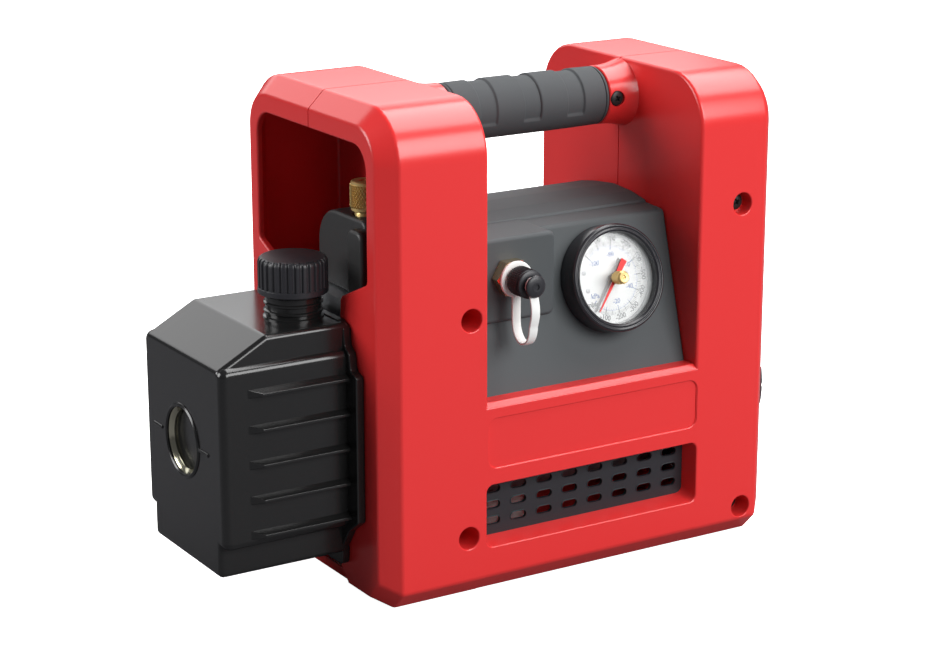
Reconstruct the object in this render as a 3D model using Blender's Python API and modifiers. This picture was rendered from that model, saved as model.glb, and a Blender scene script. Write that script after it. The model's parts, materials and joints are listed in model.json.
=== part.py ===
"""Portable rotary vane vacuum pump for refrigeration work. Two moulded shells form a base and two
hoops with a carry handle between them. The oil tank and the pump are at one end of the shaft, the
motor and its fan at the other, and the control cover with the gauge sits between the hoops.

Metres, +Z up. The shaft runs along X, the front faces -Y, the shells meet at Y = 0, and the origin
is on the ground under the middle of the housing."""

import math

import bmesh
import bpy
from mathutils import Matrix, Vector

# Clearances
GAP = 0.0003
RUNNING = 0.0005
OVERCUT = 0.001

# Housing
HOUSING_LEFT = -0.1162
HOUSING_RIGHT = 0.1162
HALF_DEPTH = 0.0732
HEIGHT = 0.250
TOP_ROUND = 0.027
TOP_STEPS = 6
LEFT_CHAMFER = 0.0091
RIGHT_CHAMFER = 0.006
LEFT_RISE = 0.005
RIGHT_RISE = 0.007
FOOT_INSET = 0.0092
FOOT_RISE = 0.0095
WALL = 0.003
SADDLE_LEFT = -0.058
SADDLE_RIGHT = 0.069
SADDLE_FLOOR = 0.100
LEDGE = 0.016
SADDLE_RIM = 0.005
TONGUE_HALF = 0.012
TONGUE_REACH = 0.008

# Opening in the left end wall
ARCH_HALF = 0.0562
ARCH_TOP = 0.2315
ARCH_ROUND = 0.012
ARCH_SHOULDER = 0.165
ARCH_WAIST = 0.1532
WAIST_HALF = 0.0293
SLOT_HALF = 0.0228
SLOT_CORNER = 0.0102

# Name panel and ventilation window
PANEL_LOW = 0.0662
PANEL_HIGH = 0.0918
PANEL_INSET = 0.0006
PANEL_ROUND = 0.005
PANEL_DEPTH = 0.001
WINDOW_LOW = 0.0248
WINDOW_HIGH = 0.0575
WINDOW_DEPTH = 0.013
WINDOW_TAPER = 0.0015
WINDOW_WALL = 0.0025
GRILLE_SETBACK = 0.0108
GRILLE_THICK = 0.0016
SLOT_COLUMNS = 8
SLOT_ROWS = 3
SLOT_PITCH_X = 0.0156
SLOT_PITCH_Z = 0.0084
SLOT_LOW_Z = 0.0343
SLOT_LENGTH = 0.0092
SLOT_WIDTH = 0.0041

# Housing screws: (x, z, depth of the head seat)
SCREW_PLACES = (
    (-0.0675, 0.144, 0.030),
    (-0.069, 0.032, 0.030),
    (0.096, 0.182, 0.0076),
    (0.1005, 0.0163, 0.0111),
)
SEAT_BORE = 0.0058
POST_WALL = 0.0022
POST_FLOOR = 0.003
REAR_POST = 0.0045
SCREW_HEAD = 0.0039
SCREW_HEAD_HIGH = 0.0026
SCREW_SHANK = 0.0016
SCREW_GRIP = 0.014

# Handle
HANDLE_Z = 0.2313
TUBE_RADIUS = 0.010
TUBE_WALL = 0.002
TUBE_END_MARGIN = 0.0024
GRIP_LEFT = -0.0395
GRIP_RIGHT = 0.0505
GRIP_RADIUS = 0.01515
GRIP_RECESS = 0.001
RECESS_WIDTH = 0.010
RECESS_PITCH = 0.0265
RECESS_LOW_Z = 0.2254
RING_WIDTH = 0.002
RIM_GROOVE = 0.0005
BOSS_RADIUS = 0.0154
BOSS_FLARE = 0.0026
BOSS_SCREW_OFFSET = 0.0047
BOSS_SCREW_SEAT = 0.0134
BOSS_SCREW_HEAD = 0.0036
BOSS_SCREW_HIGH = 0.0018
BOSS_SCREW_LONG = 0.011

# Control cover
COVER_GAP = 0.0003
COVER_WALL = 0.0025
COVER_FOOT = 0.063
COVER_EDGE_Y = -0.0421
COVER_EDGE_Z = 0.1767
COVER_STEP_Y = -0.0264
COVER_CROWN_Y = 0.0028
COVER_CROWN_Z = 0.1819
COVER_BACK_Y = 0.041
COVER_BACK_Z = 0.174
PORT_RIGHT = -0.0085
PORT_FACE = -0.0555
PORT_LOW = 0.128
PORT_TOP = 0.178
PORT_ROUND = 0.004

# Gauge, along the normal of the front panel
GAUGE_X = 0.027
GAUGE_DROP = 0.031
COLLAR_RADIUS = 0.0292
COLLAR_HIGH = 0.0025
BEZEL_RADIUS = 0.0272
BEZEL_FRONT = 0.009
BEZEL_SIGHT = 0.0218
CASE_RADIUS = 0.0250
CASE_WALL = 0.0012
CASE_DEPTH = 0.022
DIAL_TOP = 0.0042
DIAL_THICK = 0.0008
GLASS_THICK = 0.0014
GLASS_TOP = 0.0082
POINTER_LEVEL = 0.0047
POINTER_THICK = 0.0004
SET_LEVEL = 0.0056
POINTER_LONG = 0.0185
POINTER_TAIL = 0.0075
POINTER_ANGLE = -124.7
POINTER_ROOT = 0.0009
POINTER_TIP = 0.0002
POINTER_TAIL_HALF = 0.0014
POINTER_HUB = 0.0018
SET_LONG = 0.0150
SET_TAIL = 0.0120
SET_ANGLE = -118.0
SET_ROOT = 0.0010
SET_TIP = 0.0003
SET_TAIL_HALF = 0.0022
SET_HUB = 0.0024
KNOB_RADIUS = 0.0033
KNOB_LOW = 0.0095
KNOB_HIGH = 0.017
STEM_RADIUS = 0.0012
GAUGE_STEM = 0.0045
GAUGE_STEM_LONG = 0.012

# Intake port, along -Y
INTAKE_X = -0.0355
INTAKE_Z = 0.1582
HEX_ACROSS = 0.0215
HEX_THICK = 0.006
NOSE_RADIUS = 0.0056
NOSE_LONG = 0.0125
PORT_BORE = 0.0028
CAP_RADIUS = 0.0074
CAP_START = 0.0095
CAP_LONG = 0.0115
CAP_WALL = 0.0013
BUTTON_NECK = 0.0040
BUTTON_RADIUS = 0.0056
BUTTON_PLAY = 0.0030
BUTTON_HIGH = 0.0022
STRAP_WIDTH = 0.005
STRAP_THICK = 0.001
STRAP_DROP = 0.031
STRAP_RING = 0.009
STRAP_EYE_GAP = 0.0016
SEAL_DISC = 0.0012

# Intake pipe, manifold and gas ballast
PIPE_RADIUS = 0.0045
PIPE_Y = -0.006
PIPE_BEND = 0.010
PIPE_ROOM = 0.002
MANIFOLD_LEFT = -0.104
MANIFOLD_RIGHT = -0.0762
MANIFOLD_FRONT = -0.034
MANIFOLD_BACK = 0.015
MANIFOLD_TOP = 0.1895
MANIFOLD_ROUND = 0.018
KNUCKLE_WIDE = 0.009
KNUCKLE_PROUD = 0.006
BALLAST_X = -0.095
BALLAST_Y = -0.018
BALLAST_KNOB = 0.0075
BALLAST_LOW = 0.1915
BALLAST_HIGH = 0.2065
BALLAST_NECK = 0.0052

# Shaft line
AXIS_Z = 0.070
SHAFT_RADIUS = 0.006

# Pump
PLATE_BACK = -0.100
PLATE_HALF = 0.053
PLATE_LOW = 0.040
PLATE_HIGH = 0.150
PLATE_TOP_HALF = 0.026
PLATE_SHOULDER = 0.120
PLATE_WAIST = 0.132
PLATE_ROUND = 0.006
PLATE_TOP_ROUND = 0.003
TOWER_FRONT = -0.018
TOWER_BACK = 0.014
TOWER_LOW = 0.090
TOWER_SETBACK = 0.002
LANTERN_RADIUS = 0.026
LANTERN_WALL = 0.004
NECK_RADIUS = 0.0215
NECK_END = -0.1195
CARTRIDGE_RADIUS = 0.026
CARTRIDGE_LONG = 0.036
PUMP_BORE = 0.0175
ROTOR_RADIUS = 0.0145
END_PLATE_THICK = 0.006
CARTRIDGE_FLOOR = 0.004
VANE_THICK = 0.003
VANE_DEEP = 0.009
SEAL_RADIUS = 0.011
SEAL_LONG = 0.007
VALVE_RADIUS = 0.0035
VALVE_HIGH = 0.006
EXHAUST_BORE = 0.0018

# Oil tank
TANK_END = -0.1885
TANK_BACK = -0.1165
TANK_HALF = 0.0435
TANK_FOOT_HALF = 0.0373
TANK_LOW = 0.023
TANK_FOOT_TOP = 0.0385
TANK_SHOULDER = 0.1255
TANK_BAND = 0.0405
TANK_BAND_LOW = 0.1302
TANK_TOP = 0.1428
TANK_TOP_ROUND = 0.006
TANK_CORNER = 0.005
TANK_SLOPE_LOW = 0.1286
TANK_SLOPE_END = -0.1623
TANK_WALL = 0.003
FLANGE_THICK = 0.0045
FLANGE_HALF = 0.0535
RIB_COUNT = 5
RIB_TOP = 0.1194
RIB_PITCH = 0.01785
RIB_OUT = 0.0475
RIB_DROP = 0.0027
RIB_DEEP = 0.0057
RIB_LEFT = -0.1775
RIB_RUN = 0.009
TANK_BOLT = 0.002
SEAL_SECTION = 0.0011
FILL_X = -0.1336
FILL_Y = -0.014
FILL_NECK = 0.01465
FILL_BORE = 0.0105
FILL_NECK_TOP = 0.1535
FILL_CAP = 0.01735
FILL_CAP_LOW = 0.1548
FILL_CAP_HIGH = 0.1727
FILL_PLUG = 0.0100
FILL_PLUG_LONG = 0.009
FILL_FLUTES = 30
FILL_FLUTE_DEEP = 0.0006
SIGHT_Y = 0.00075
SIGHT_Z = 0.0835
SIGHT_RING = 0.019
SIGHT_RADIUS = 0.0158
SIGHT_PROUD = 0.0012
DRAIN_X = -0.170
DRAIN_RADIUS = 0.0045
DRAIN_HEX = 0.013
DRAIN_HIGH = 0.006

# Motor
MOTOR_RADIUS = 0.045
MOTOR_WALL = 0.003
MOTOR_LEFT = -0.046
MOTOR_RIGHT = 0.086
BELL_THICK = 0.005
BELL_HUB = 0.021
BEARING_RADIUS = 0.0175
BEARING_WIDE = 0.011
STACK_LEFT = -0.012
STACK_RIGHT = 0.050
STACK_BORE = 0.0245
ROTOR_CORE = 0.0240
WINDING_OUT = 0.0395
WINDING_IN = 0.0275
WINDING_LONG = 0.018
COUPLING_RADIUS = 0.013
COUPLING_LONG = 0.024
COUPLING_MID = -0.076
CRADLE_PLACES = (-0.030, 0.060)
CRADLE_THICK = 0.003
CRADLE_HALF = 0.048
CRADLE_HIGH = 0.052
CAPACITOR_RADIUS = 0.014
CAPACITOR_LEFT = 0.005
CAPACITOR_LONG = 0.050
CAPACITOR_Y = 0.008
CAPACITOR_Z = 0.1335

# Fan and its cover
FAN_COVER_RADIUS = 0.0485
FAN_COVER_WALL = 0.002
FAN_COVER_LEFT = 0.080
FAN_COVER_END = 0.1425
FAN_COVER_FLAT = 0.026
FAN_OPENING = 0.051
FAN_SLOTS = 12
FAN_SLOT_IN = 0.012
FAN_SLOT_OUT = 0.040
FAN_SLOT_WIDE = 0.0044
FAN_RADIUS = 0.040
FAN_HUB = 0.012
FAN_LEFT = 0.104
FAN_WIDE = 0.022
FAN_BLADES = 8
BLADE_THICK = 0.0016
FAN_DISC = 0.002
BLADE_ROOT = 0.001
FAN_COVER_DOME = 0.016

# Switch and mains inlet on the back of the cover
SWITCH_X = -0.032
SWITCH_WIDE = 0.030
SWITCH_TALL = 0.022
SWITCH_ROUND = 0.002
SWITCH_WALL = 0.003
SWITCH_FLOOR = 0.004
ROCKER_END_PLAY = 0.0015
ROCKER_SIDE_PLAY = 0.0004
ROCKER_DEEP = 0.006
ROCKER_DIP = 0.0004
REAR_LIP = 0.002
INLET_X = 0.030
INLET_ROUND = 0.004
INLET_DEPTH = 0.020
SOCKET_WIDE = 0.027
SOCKET_TALL = 0.017
SOCKET_DEPTH = 0.016
PIN_PLACES = ((-0.007, -0.001), (0, 0.003), (0.007, -0.001))
PIN_THICK = 0.002
PIN_TALL = 0.004
PIN_SETBACK = 0.005
INLET_WIDE = 0.048
INLET_TALL = 0.028
REAR_RIM = 0.002
SWITCH_DEPTH = 0.016
ROCKER_TILT = 12.0
REAR_DROP = 0.034

RED = (0.75, 0.03, 0.03)
BLACK = (0.012, 0.012, 0.013)
CHARCOAL = (0.05, 0.055, 0.06)
STEEL = (0.60, 0.60, 0.62)
BRASS = (0.72, 0.50, 0.20)
ALUMINIUM = (0.55, 0.56, 0.57)
IRON = (0.20, 0.20, 0.21)
COPPER = (0.72, 0.30, 0.12)
WHITE = (0.85, 0.85, 0.82)

ALONG_X = Matrix(((0, 0, 1, 0), (1, 0, 0, 0), (0, 1, 0, 0), (0, 0, 0, 1)))
TO_FRONT = Matrix(((1, 0, 0, 0), (0, 0, -1, 0), (0, 1, 0, 0), (0, 0, 0, 1)))
TO_BACK = Matrix(((-1, 0, 0, 0), (0, 0, 1, 0), (0, 1, 0, 0), (0, 0, 0, 1)))

for old in list(bpy.data.objects):
    bpy.data.objects.remove(old)

PARTS = bpy.data.collections.new("vacuum_pump")
CUTTERS = bpy.data.collections.new("cutters")
bpy.context.scene.collection.children.link(PARTS)
bpy.context.scene.collection.children.link(CUTTERS)


def at(x, y, z, turn=None):
    """A placement at a point, turned by an axis matrix where one is given."""
    place = Matrix.Translation((x, y, z))
    return place @ turn if turn else place


def surface(name, colour, roughness, metallic=0.0):
    """A Principled material."""
    material = bpy.data.materials.new(name)
    material.use_nodes = True
    shader = material.node_tree.nodes["Principled BSDF"]
    shader.inputs["Base Color"].default_value = (*colour, 1.0)
    shader.inputs["Roughness"].default_value = roughness
    shader.inputs["Metallic"].default_value = metallic
    return material


def add(name, mesh, material=None, place=None):
    """Link a mesh as a part, or as a hidden cutter where it has no material."""
    obj = bpy.data.objects.new(name, mesh)
    obj.matrix_world = place or Matrix()
    if material:
        mesh.materials.append(material)
        mesh.shade_smooth()
        mesh.set_sharp_from_angle(angle=math.radians(30))
        PARTS.objects.link(obj)
    else:
        obj.hide_render = True
        obj.display_type = "WIRE"
        CUTTERS.objects.link(obj)
    return obj


def combine(obj, operation, helpers):
    for helper in helpers:
        modifier = obj.modifiers.new(f"{operation.title()} {helper.name}", "BOOLEAN")
        modifier.operation = operation
        modifier.solver = "EXACT"
        modifier.object = helper
    return obj


def cut(obj, *helpers):
    return combine(obj, "DIFFERENCE", helpers)


def join(obj, *helpers):
    return combine(obj, "UNION", helpers)


def mesh_from(bm, name="shape"):
    bmesh.ops.recalc_face_normals(bm, faces=bm.faces)
    mesh = bpy.data.meshes.new(name)
    bm.to_mesh(mesh)
    bm.free()
    return mesh


def settled(obj):
    """The mesh of an object with its modifiers applied."""
    graph = bpy.context.evaluated_depsgraph_get()
    return bpy.data.meshes.new_from_object(obj.evaluated_get(graph))


def box(low, high):
    bm = bmesh.new()
    bmesh.ops.create_cube(bm, size=1)
    size = Vector(high) - Vector(low)
    middle = (Vector(high) + Vector(low)) / 2
    bmesh.ops.transform(bm, matrix=Matrix.Translation(middle) @ Matrix.Diagonal((*size, 1)), verts=bm.verts)
    return mesh_from(bm)


def cylinder(radius, low, high, sides=24, high_radius=None):
    """A cylinder or cone along local Z."""
    bm = bmesh.new()
    end = radius if high_radius is None else high_radius
    bmesh.ops.create_cone(bm, cap_ends=True, segments=sides, radius1=radius, radius2=end, depth=high - low)
    bmesh.ops.translate(bm, vec=(0, 0, (low + high) / 2), verts=bm.verts)
    return mesh_from(bm)


def prism(outline, low, high):
    """A flat outline extruded along local Z."""
    curve = bpy.data.curves.new("outline", "CURVE")
    curve.dimensions = "2D"
    curve.fill_mode = "BOTH"
    curve.extrude = (high - low) / 2
    spline = curve.splines.new("POLY")
    spline.points.add(len(outline) - 1)
    for point, (x, y) in zip(spline.points, outline):
        point.co = (x, y, 0, 1)
    spline.use_cyclic_u = True
    drawn = bpy.data.objects.new("outline", curve)
    CUTTERS.objects.link(drawn)
    mesh = settled(drawn)
    bpy.data.objects.remove(drawn)
    bm = bmesh.new()
    bm.from_mesh(mesh)
    bmesh.ops.remove_doubles(bm, verts=bm.verts, dist=1e-6)
    bmesh.ops.translate(bm, vec=(0, 0, (low + high) / 2), verts=bm.verts)
    return mesh_from(bm)


def turned(profile, steps=28, ring=False):
    """A profile of (radius, height) points turned about local Z, a closed loop where ring is set."""
    mesh = bpy.data.meshes.new("profile")
    count = len(profile)
    edges = [(index, index + 1) for index in range(count - 1)]
    if ring:
        edges.append((count - 1, 0))
    mesh.from_pydata([(radius, 0, height) for radius, height in profile], edges, [])
    drawn = bpy.data.objects.new("profile", mesh)
    CUTTERS.objects.link(drawn)
    screw = drawn.modifiers.new("Turn", "SCREW")
    screw.steps = steps
    screw.render_steps = steps
    screw.use_merge_vertices = True
    screw.merge_threshold = 0.00001
    result = settled(drawn)
    bpy.data.objects.remove(drawn)
    bm = bmesh.new()
    bm.from_mesh(result)
    bmesh.ops.remove_doubles(bm, verts=bm.verts, dist=1e-6)
    return mesh_from(bm)


def loft(sections):
    """A closed solid through rings of equally many points."""
    bm = bmesh.new()
    rings = [[bm.verts.new(point) for point in section] for section in sections]
    bm.faces.new(rings[0])
    bm.faces.new(rings[-1])
    count = len(rings[0])
    for lower, upper in zip(rings, rings[1:]):
        for index in range(count):
            after = (index + 1) % count
            bm.faces.new((lower[index], lower[after], upper[after], upper[index]))
    bmesh.ops.triangulate(bm, faces=bm.faces)
    return mesh_from(bm)


def gathered(pieces):
    """Several placed meshes in one mesh, for cutters that don't touch each other."""
    bm = bmesh.new()
    for mesh, place in pieces:
        mesh.transform(place)
        bm.from_mesh(mesh)
    return mesh_from(bm)


def hull(points):
    bm = bmesh.new()
    for point in points:
        bm.verts.new(point)
    bmesh.ops.convex_hull(bm, input=bm.verts)
    return mesh_from(bm)


def pipe(points, radius, resolution=3):
    """A round tube along a smooth list of points."""
    curve = bpy.data.curves.new("route", "CURVE")
    curve.dimensions = "3D"
    curve.bevel_depth = radius
    curve.bevel_resolution = resolution
    curve.use_fill_caps = True
    spline = curve.splines.new("POLY")
    spline.points.add(len(points) - 1)
    for point, place in zip(spline.points, points):
        point.co = (*place, 1)
    drawn = bpy.data.objects.new("route", curve)
    CUTTERS.objects.link(drawn)
    mesh = settled(drawn)
    bpy.data.objects.remove(drawn)
    bm = bmesh.new()
    bm.from_mesh(mesh)
    bmesh.ops.remove_doubles(bm, verts=bm.verts, dist=1e-6)
    return mesh_from(bm)


def rounded(corners, steps=3):
    """A closed outline in which each corner (x, y, radius) is an arc."""
    points = []
    count = len(corners)
    for index, (x, y, radius) in enumerate(corners):
        corner = Vector((x, y))
        if radius == 0:
            points.append(tuple(corner))
            continue
        before = (Vector(corners[index - 1][:2]) - corner).normalized()
        after = (Vector(corners[(index + 1) % count][:2]) - corner).normalized()
        half = before.angle(after) / 2
        centre = corner + (before + after).normalized() * radius / math.sin(half)
        start = corner + before * radius / math.tan(half) - centre
        end = corner + after * radius / math.tan(half) - centre
        sweep = start.angle(end)
        for step in range(steps + 1):
            part = step / steps
            arm = start * math.sin((1 - part) * sweep) + end * math.sin(part * sweep)
            points.append(tuple(centre + arm / math.sin(sweep)))
    return points


def both_sides(half):
    """Corners listed up one side, completed with their mirror down the other side."""
    return half + [(-x, y, radius) for x, y, radius in reversed(half)]


def rounded_box(half_x, half_y, radius, steps=3):
    """A rectangle about the origin with round corners."""
    return rounded(both_sides([(half_x, -half_y, radius), (half_x, half_y, radius)]), steps)


def hexagon(across, angle=0.0):
    """A regular hexagon, by its width across flats."""
    reach = across / math.sqrt(3)
    turns = [angle + math.radians(60 * index) for index in range(6)]
    return [(reach * math.cos(turn), reach * math.sin(turn)) for turn in turns]


def half_profile(inset, rise):
    """One side of the housing's section, from the ground up to the middle of its top."""
    side = HALF_DEPTH - inset
    top = HEIGHT - inset
    radius = TOP_ROUND - inset
    points = [(side - FOOT_INSET, rise), (side, rise + FOOT_RISE)]
    for step in range(TOP_STEPS + 1):
        angle = math.radians(90 * step / TOP_STEPS)
        points.append((side - radius + radius * math.cos(angle), top - radius + radius * math.sin(angle)))
    return points


def housing_body(wall):
    """The housing's outer solid, or its hollow when wall is the shell's thickness."""
    lean = wall * math.tan(math.radians(22.5))
    stations = (
        (HOUSING_LEFT + wall, LEFT_CHAMFER + lean, LEFT_RISE + wall),
        (HOUSING_LEFT + LEFT_CHAMFER + lean, wall, wall),
        (HOUSING_RIGHT - RIGHT_CHAMFER - lean, wall, wall),
        (HOUSING_RIGHT - wall, RIGHT_CHAMFER + lean, RIGHT_RISE + wall),
    )
    sections = []
    for x, inset, rise in stations:
        half = half_profile(inset, rise)
        ring = [(x, y, z) for y, z in half] + [(x, -y, z) for y, z in reversed(half)]
        sections.append(ring)
    return loft(sections)


def saddle(margin):
    """The space between the hoops, widened by a margin."""
    return box(
        (SADDLE_LEFT - margin, -HALF_DEPTH - OVERCUT, SADDLE_FLOOR - margin),
        (SADDLE_RIGHT + margin, HALF_DEPTH + OVERCUT, HEIGHT + OVERCUT),
    )


def arch_outline():
    """The opening in the left end wall: an arch above, and a slot down to the ground."""
    foot = SLOT_HALF + SLOT_CORNER
    return rounded(
        both_sides(
            [
                (foot, -OVERCUT, 0),
                (foot, LEFT_RISE, 0),
                (SLOT_HALF, LEFT_RISE + SLOT_CORNER, 0),
                (WAIST_HALF, ARCH_WAIST, 0),
                (ARCH_HALF, ARCH_SHOULDER, 0.002),
                (ARCH_HALF, ARCH_TOP, ARCH_ROUND),
            ]
        )
    )


def window_cutter(side):
    """The ventilation window, narrowing inwards from the front or back face."""
    sections = []
    for depth, taper in ((-OVERCUT, 0.0), (WINDOW_DEPTH + OVERCUT, WINDOW_TAPER)):
        left = SADDLE_LEFT - 0.0006 + taper
        right = SADDLE_RIGHT + 0.0014 - taper
        low = WINDOW_LOW + taper
        high = WINDOW_HIGH - taper
        y = side * (HALF_DEPTH - depth)
        sections.append([(left, y, low), (right, y, low), (right, y, high), (left, y, high)])
    return loft(sections)


def window_frame(side):
    """The moulded tunnel round the window."""
    left = SADDLE_LEFT - WINDOW_WALL
    right = SADDLE_RIGHT + WINDOW_WALL
    outer = side * (HALF_DEPTH - WALL / 2)
    inner = side * (HALF_DEPTH - WINDOW_DEPTH)
    return box(
        (left, min(outer, inner), WINDOW_LOW - WINDOW_WALL),
        (right, max(outer, inner), WINDOW_HIGH + WINDOW_WALL),
    )


def handle_boss(start, end):
    """The round root that carries the handle, flared where it meets the hoop."""
    reach = end - start
    profile = [(0, 0), (BOSS_RADIUS, 0), (BOSS_RADIUS, 0.35 * reach)]
    for step in range(1, 5):
        part = step / 4
        profile.append((BOSS_RADIUS + BOSS_FLARE * part * part, (0.35 + 0.65 * part) * reach))
    profile += [(BOSS_RADIUS + BOSS_FLARE, reach + WALL / 2 * (1 if reach > 0 else -1))]
    profile.append((0, profile[-1][1]))
    return turned(profile)


def shell_hollows():
    """The shells' inside, and the space between the hoops."""
    hollow = add("housing_hollow", housing_body(WALL))
    cut(hollow, add("saddle_walls", saddle(WALL)))
    return [hollow, add("saddle_space", saddle(0))]


def cradle_outline():
    """A rib across the floor, hollowed to the motor's round."""
    bed = MOTOR_RADIUS + GAP
    reach = math.asin((AXIS_Z - CRADLE_HIGH) / bed)
    points = [(-CRADLE_HALF, WALL / 2), (CRADLE_HALF, WALL / 2), (CRADLE_HALF, CRADLE_HIGH)]
    for step in range(21):
        angle = -reach - (math.pi - 2 * reach) * step / 20
        points.append((bed * math.cos(angle), AXIS_Z + bed * math.sin(angle)))
    points.append((-CRADLE_HALF, CRADLE_HIGH))
    return points


def shell_additions():
    """What both shells carry inside: window tunnels, handle roots and motor cradles."""
    left = GRIP_LEFT - RING_WIDTH - GAP
    right = GRIP_RIGHT + RING_WIDTH + GAP
    pieces = [
        add("left_boss", handle_boss(left, SADDLE_LEFT), place=at(left, 0, HANDLE_Z, ALONG_X)),
        add("right_boss", handle_boss(right, SADDLE_RIGHT), place=at(right, 0, HANDLE_Z, ALONG_X)),
    ]
    for number, x in enumerate(CRADLE_PLACES, 1):
        rib = prism(cradle_outline(), x - CRADLE_THICK / 2, x + CRADLE_THICK / 2)
        pieces.append(add(f"motor_cradle_{number}", rib, place=ALONG_X))
    return pieces


def shell_openings():
    """The openings that both shells share."""
    arch = prism(arch_outline(), HOUSING_LEFT - OVERCUT, HOUSING_LEFT + 2 * WALL)
    floor_half = HALF_DEPTH - LEDGE
    floor = box(
        (SADDLE_LEFT + SADDLE_RIM, -floor_half, SADDLE_FLOOR - 2 * WALL),
        (SADDLE_RIGHT - SADDLE_RIM, floor_half, SADDLE_FLOOR + WALL),
    )
    fan_hole = cylinder(FAN_OPENING, HOUSING_RIGHT - 2 * WALL, HOUSING_RIGHT + OVERCUT, 36)
    pipe_hole = cylinder(PIPE_RADIUS + PIPE_ROOM, SADDLE_LEFT - 2 * WALL, SADDLE_LEFT + OVERCUT, 16)
    notch_left = SADDLE_RIGHT - SADDLE_RIM - OVERCUT
    notch = cylinder(MOTOR_RADIUS + RUNNING, notch_left, SADDLE_RIGHT + WALL + OVERCUT, 40)
    pieces = [
        add("motor_notch", notch, place=at(0, 0, AXIS_Z, ALONG_X)),
        add("end_arch", arch, place=ALONG_X),
        add("floor_opening", floor),
        add("fan_opening", fan_hole, place=at(0, 0, AXIS_Z, ALONG_X)),
        add("pipe_opening", pipe_hole, place=at(0, PIPE_Y, INTAKE_Z, ALONG_X)),
    ]
    for name, y, z in tank_bolt_places():
        hole = cylinder(TANK_BOLT + 2 * GAP, HOUSING_LEFT - OVERCUT, HOUSING_LEFT + 2 * WALL, 12)
        pieces.append(add(f"wall_hole_{name}", hole, place=at(0, y, z, ALONG_X)))
    return pieces


def seat_y(depth):
    return -HALF_DEPTH + depth


def floor_tongue(margin, rise):
    """The tongue of the front shell's floor that locates the rear shell, widened by a margin."""
    half = TONGUE_HALF + margin
    return box((-half, -2 * WALL, -rise), (half, TONGUE_REACH + margin, WALL + rise))


def front_shell_parts():
    """The front shell's own posts, and the cuts for its screws and its name panel."""
    posts = [add("front_window_frame", window_frame(-1)), add("floor_tongue", floor_tongue(0, 0))]
    cuts = [add("front_window", window_cutter(-1))]
    for number, (x, z, depth) in enumerate(SCREW_PLACES, 1):
        seat = -seat_y(depth)
        post = cylinder(SEAT_BORE + POST_WALL, seat - POST_FLOOR, HALF_DEPTH - WALL / 2, 16)
        bore = cylinder(SEAT_BORE, seat, HALF_DEPTH + OVERCUT, 16)
        hole = cylinder(SCREW_SHANK + 3 * GAP, seat - 2 * POST_FLOOR, seat + OVERCUT, 8)
        place = at(x, 0, z, TO_FRONT)
        posts.append(add(f"front_post_{number}", post, place=place))
        cuts.append(add(f"seat_bore_{number}", bore, place=place))
        cuts.append(add(f"screw_hole_{number}", hole, place=place))
    for number, x in enumerate(boss_screw_places(), 1):
        seat = cylinder(BOSS_SCREW_HEAD + GAP, BOSS_SCREW_SEAT, BOSS_SCREW_SEAT + 0.006, 16)
        hole = cylinder(SCREW_SHANK + 2 * GAP, TUBE_RADIUS - OVERCUT, BOSS_SCREW_SEAT + OVERCUT, 12)
        place = at(x, 0, HANDLE_Z, TO_FRONT)
        cuts.append(add(f"boss_seat_{number}", seat, place=place))
        cuts.append(add(f"boss_hole_{number}", hole, place=place))
    left = SADDLE_LEFT + PANEL_INSET
    right = SADDLE_RIGHT + PANEL_INSET
    corners = [
        (left, PANEL_LOW, PANEL_ROUND),
        (right, PANEL_LOW, PANEL_ROUND),
        (right, PANEL_HIGH, PANEL_ROUND),
        (left, PANEL_HIGH, PANEL_ROUND),
    ]
    recess = prism(rounded(corners), HALF_DEPTH - PANEL_DEPTH, HALF_DEPTH + OVERCUT)
    cuts.append(add("name_panel", recess, place=TO_FRONT))
    return posts, cuts


def rear_shell_parts():
    """The rear shell's own posts, which reach to the front shell's, with their pilot holes."""
    posts = [add("rear_window_frame", window_frame(1))]
    cuts = [add("rear_window", window_cutter(1)), add("tongue_notch", floor_tongue(GAP, OVERCUT))]
    for number, (x, z, depth) in enumerate(SCREW_PLACES, 1):
        start = seat_y(depth) + POST_FLOOR + GAP
        post = cylinder(REAR_POST, start, HALF_DEPTH - WALL / 2, 12)
        pilot = cylinder(SCREW_SHANK + 2 * GAP, start - OVERCUT, start + SCREW_GRIP + OVERCUT, 8)
        place = at(x, 0, z, TO_BACK)
        posts.append(add(f"rear_post_{number}", post, place=place))
        cuts.append(add(f"pilot_{number}", pilot, place=place))
    return posts, cuts


def shells(red):
    """The two shells, parted at the seam, with the screw posts that hold them together."""
    hollows = shell_hollows()
    shared = shell_additions()
    openings = shell_openings()
    bore = cylinder(TUBE_RADIUS + GAP, SADDLE_LEFT - 2 * WALL, SADDLE_RIGHT + 2 * WALL, 28)
    handle_bore = add("handle_bore", bore, place=at(0, 0, HANDLE_Z, ALONG_X))
    reach = HALF_DEPTH + 2 * OVERCUT
    for name, side in (("front_shell", -1), ("rear_shell", 1)):
        shell = add(name, housing_body(0), red)
        edges = sorted((-side * reach, side * GAP / 2))
        other = box((-0.2, edges[0], -OVERCUT), (0.2, edges[1], HEIGHT + OVERCUT))
        posts, cuts = front_shell_parts() if side < 0 else rear_shell_parts()
        cut(shell, *hollows)
        join(shell, *shared)
        cut(shell, add(f"{name}_parting", other))
        join(shell, *posts)
        cut(shell, *openings, *cuts, handle_bore)


def screw_mesh(head, high, shank, length):
    """A pan head screw whose seat is at local z = 0 and whose head points up local Z."""
    crown = 0.4 * high
    profile = [
        (0, high),
        (0.7 * head, high),
        (head, high - crown),
        (head, GAP),
        (shank, GAP),
        (shank, -length),
        (0, -length),
    ]
    return turned(profile, 10)


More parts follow.
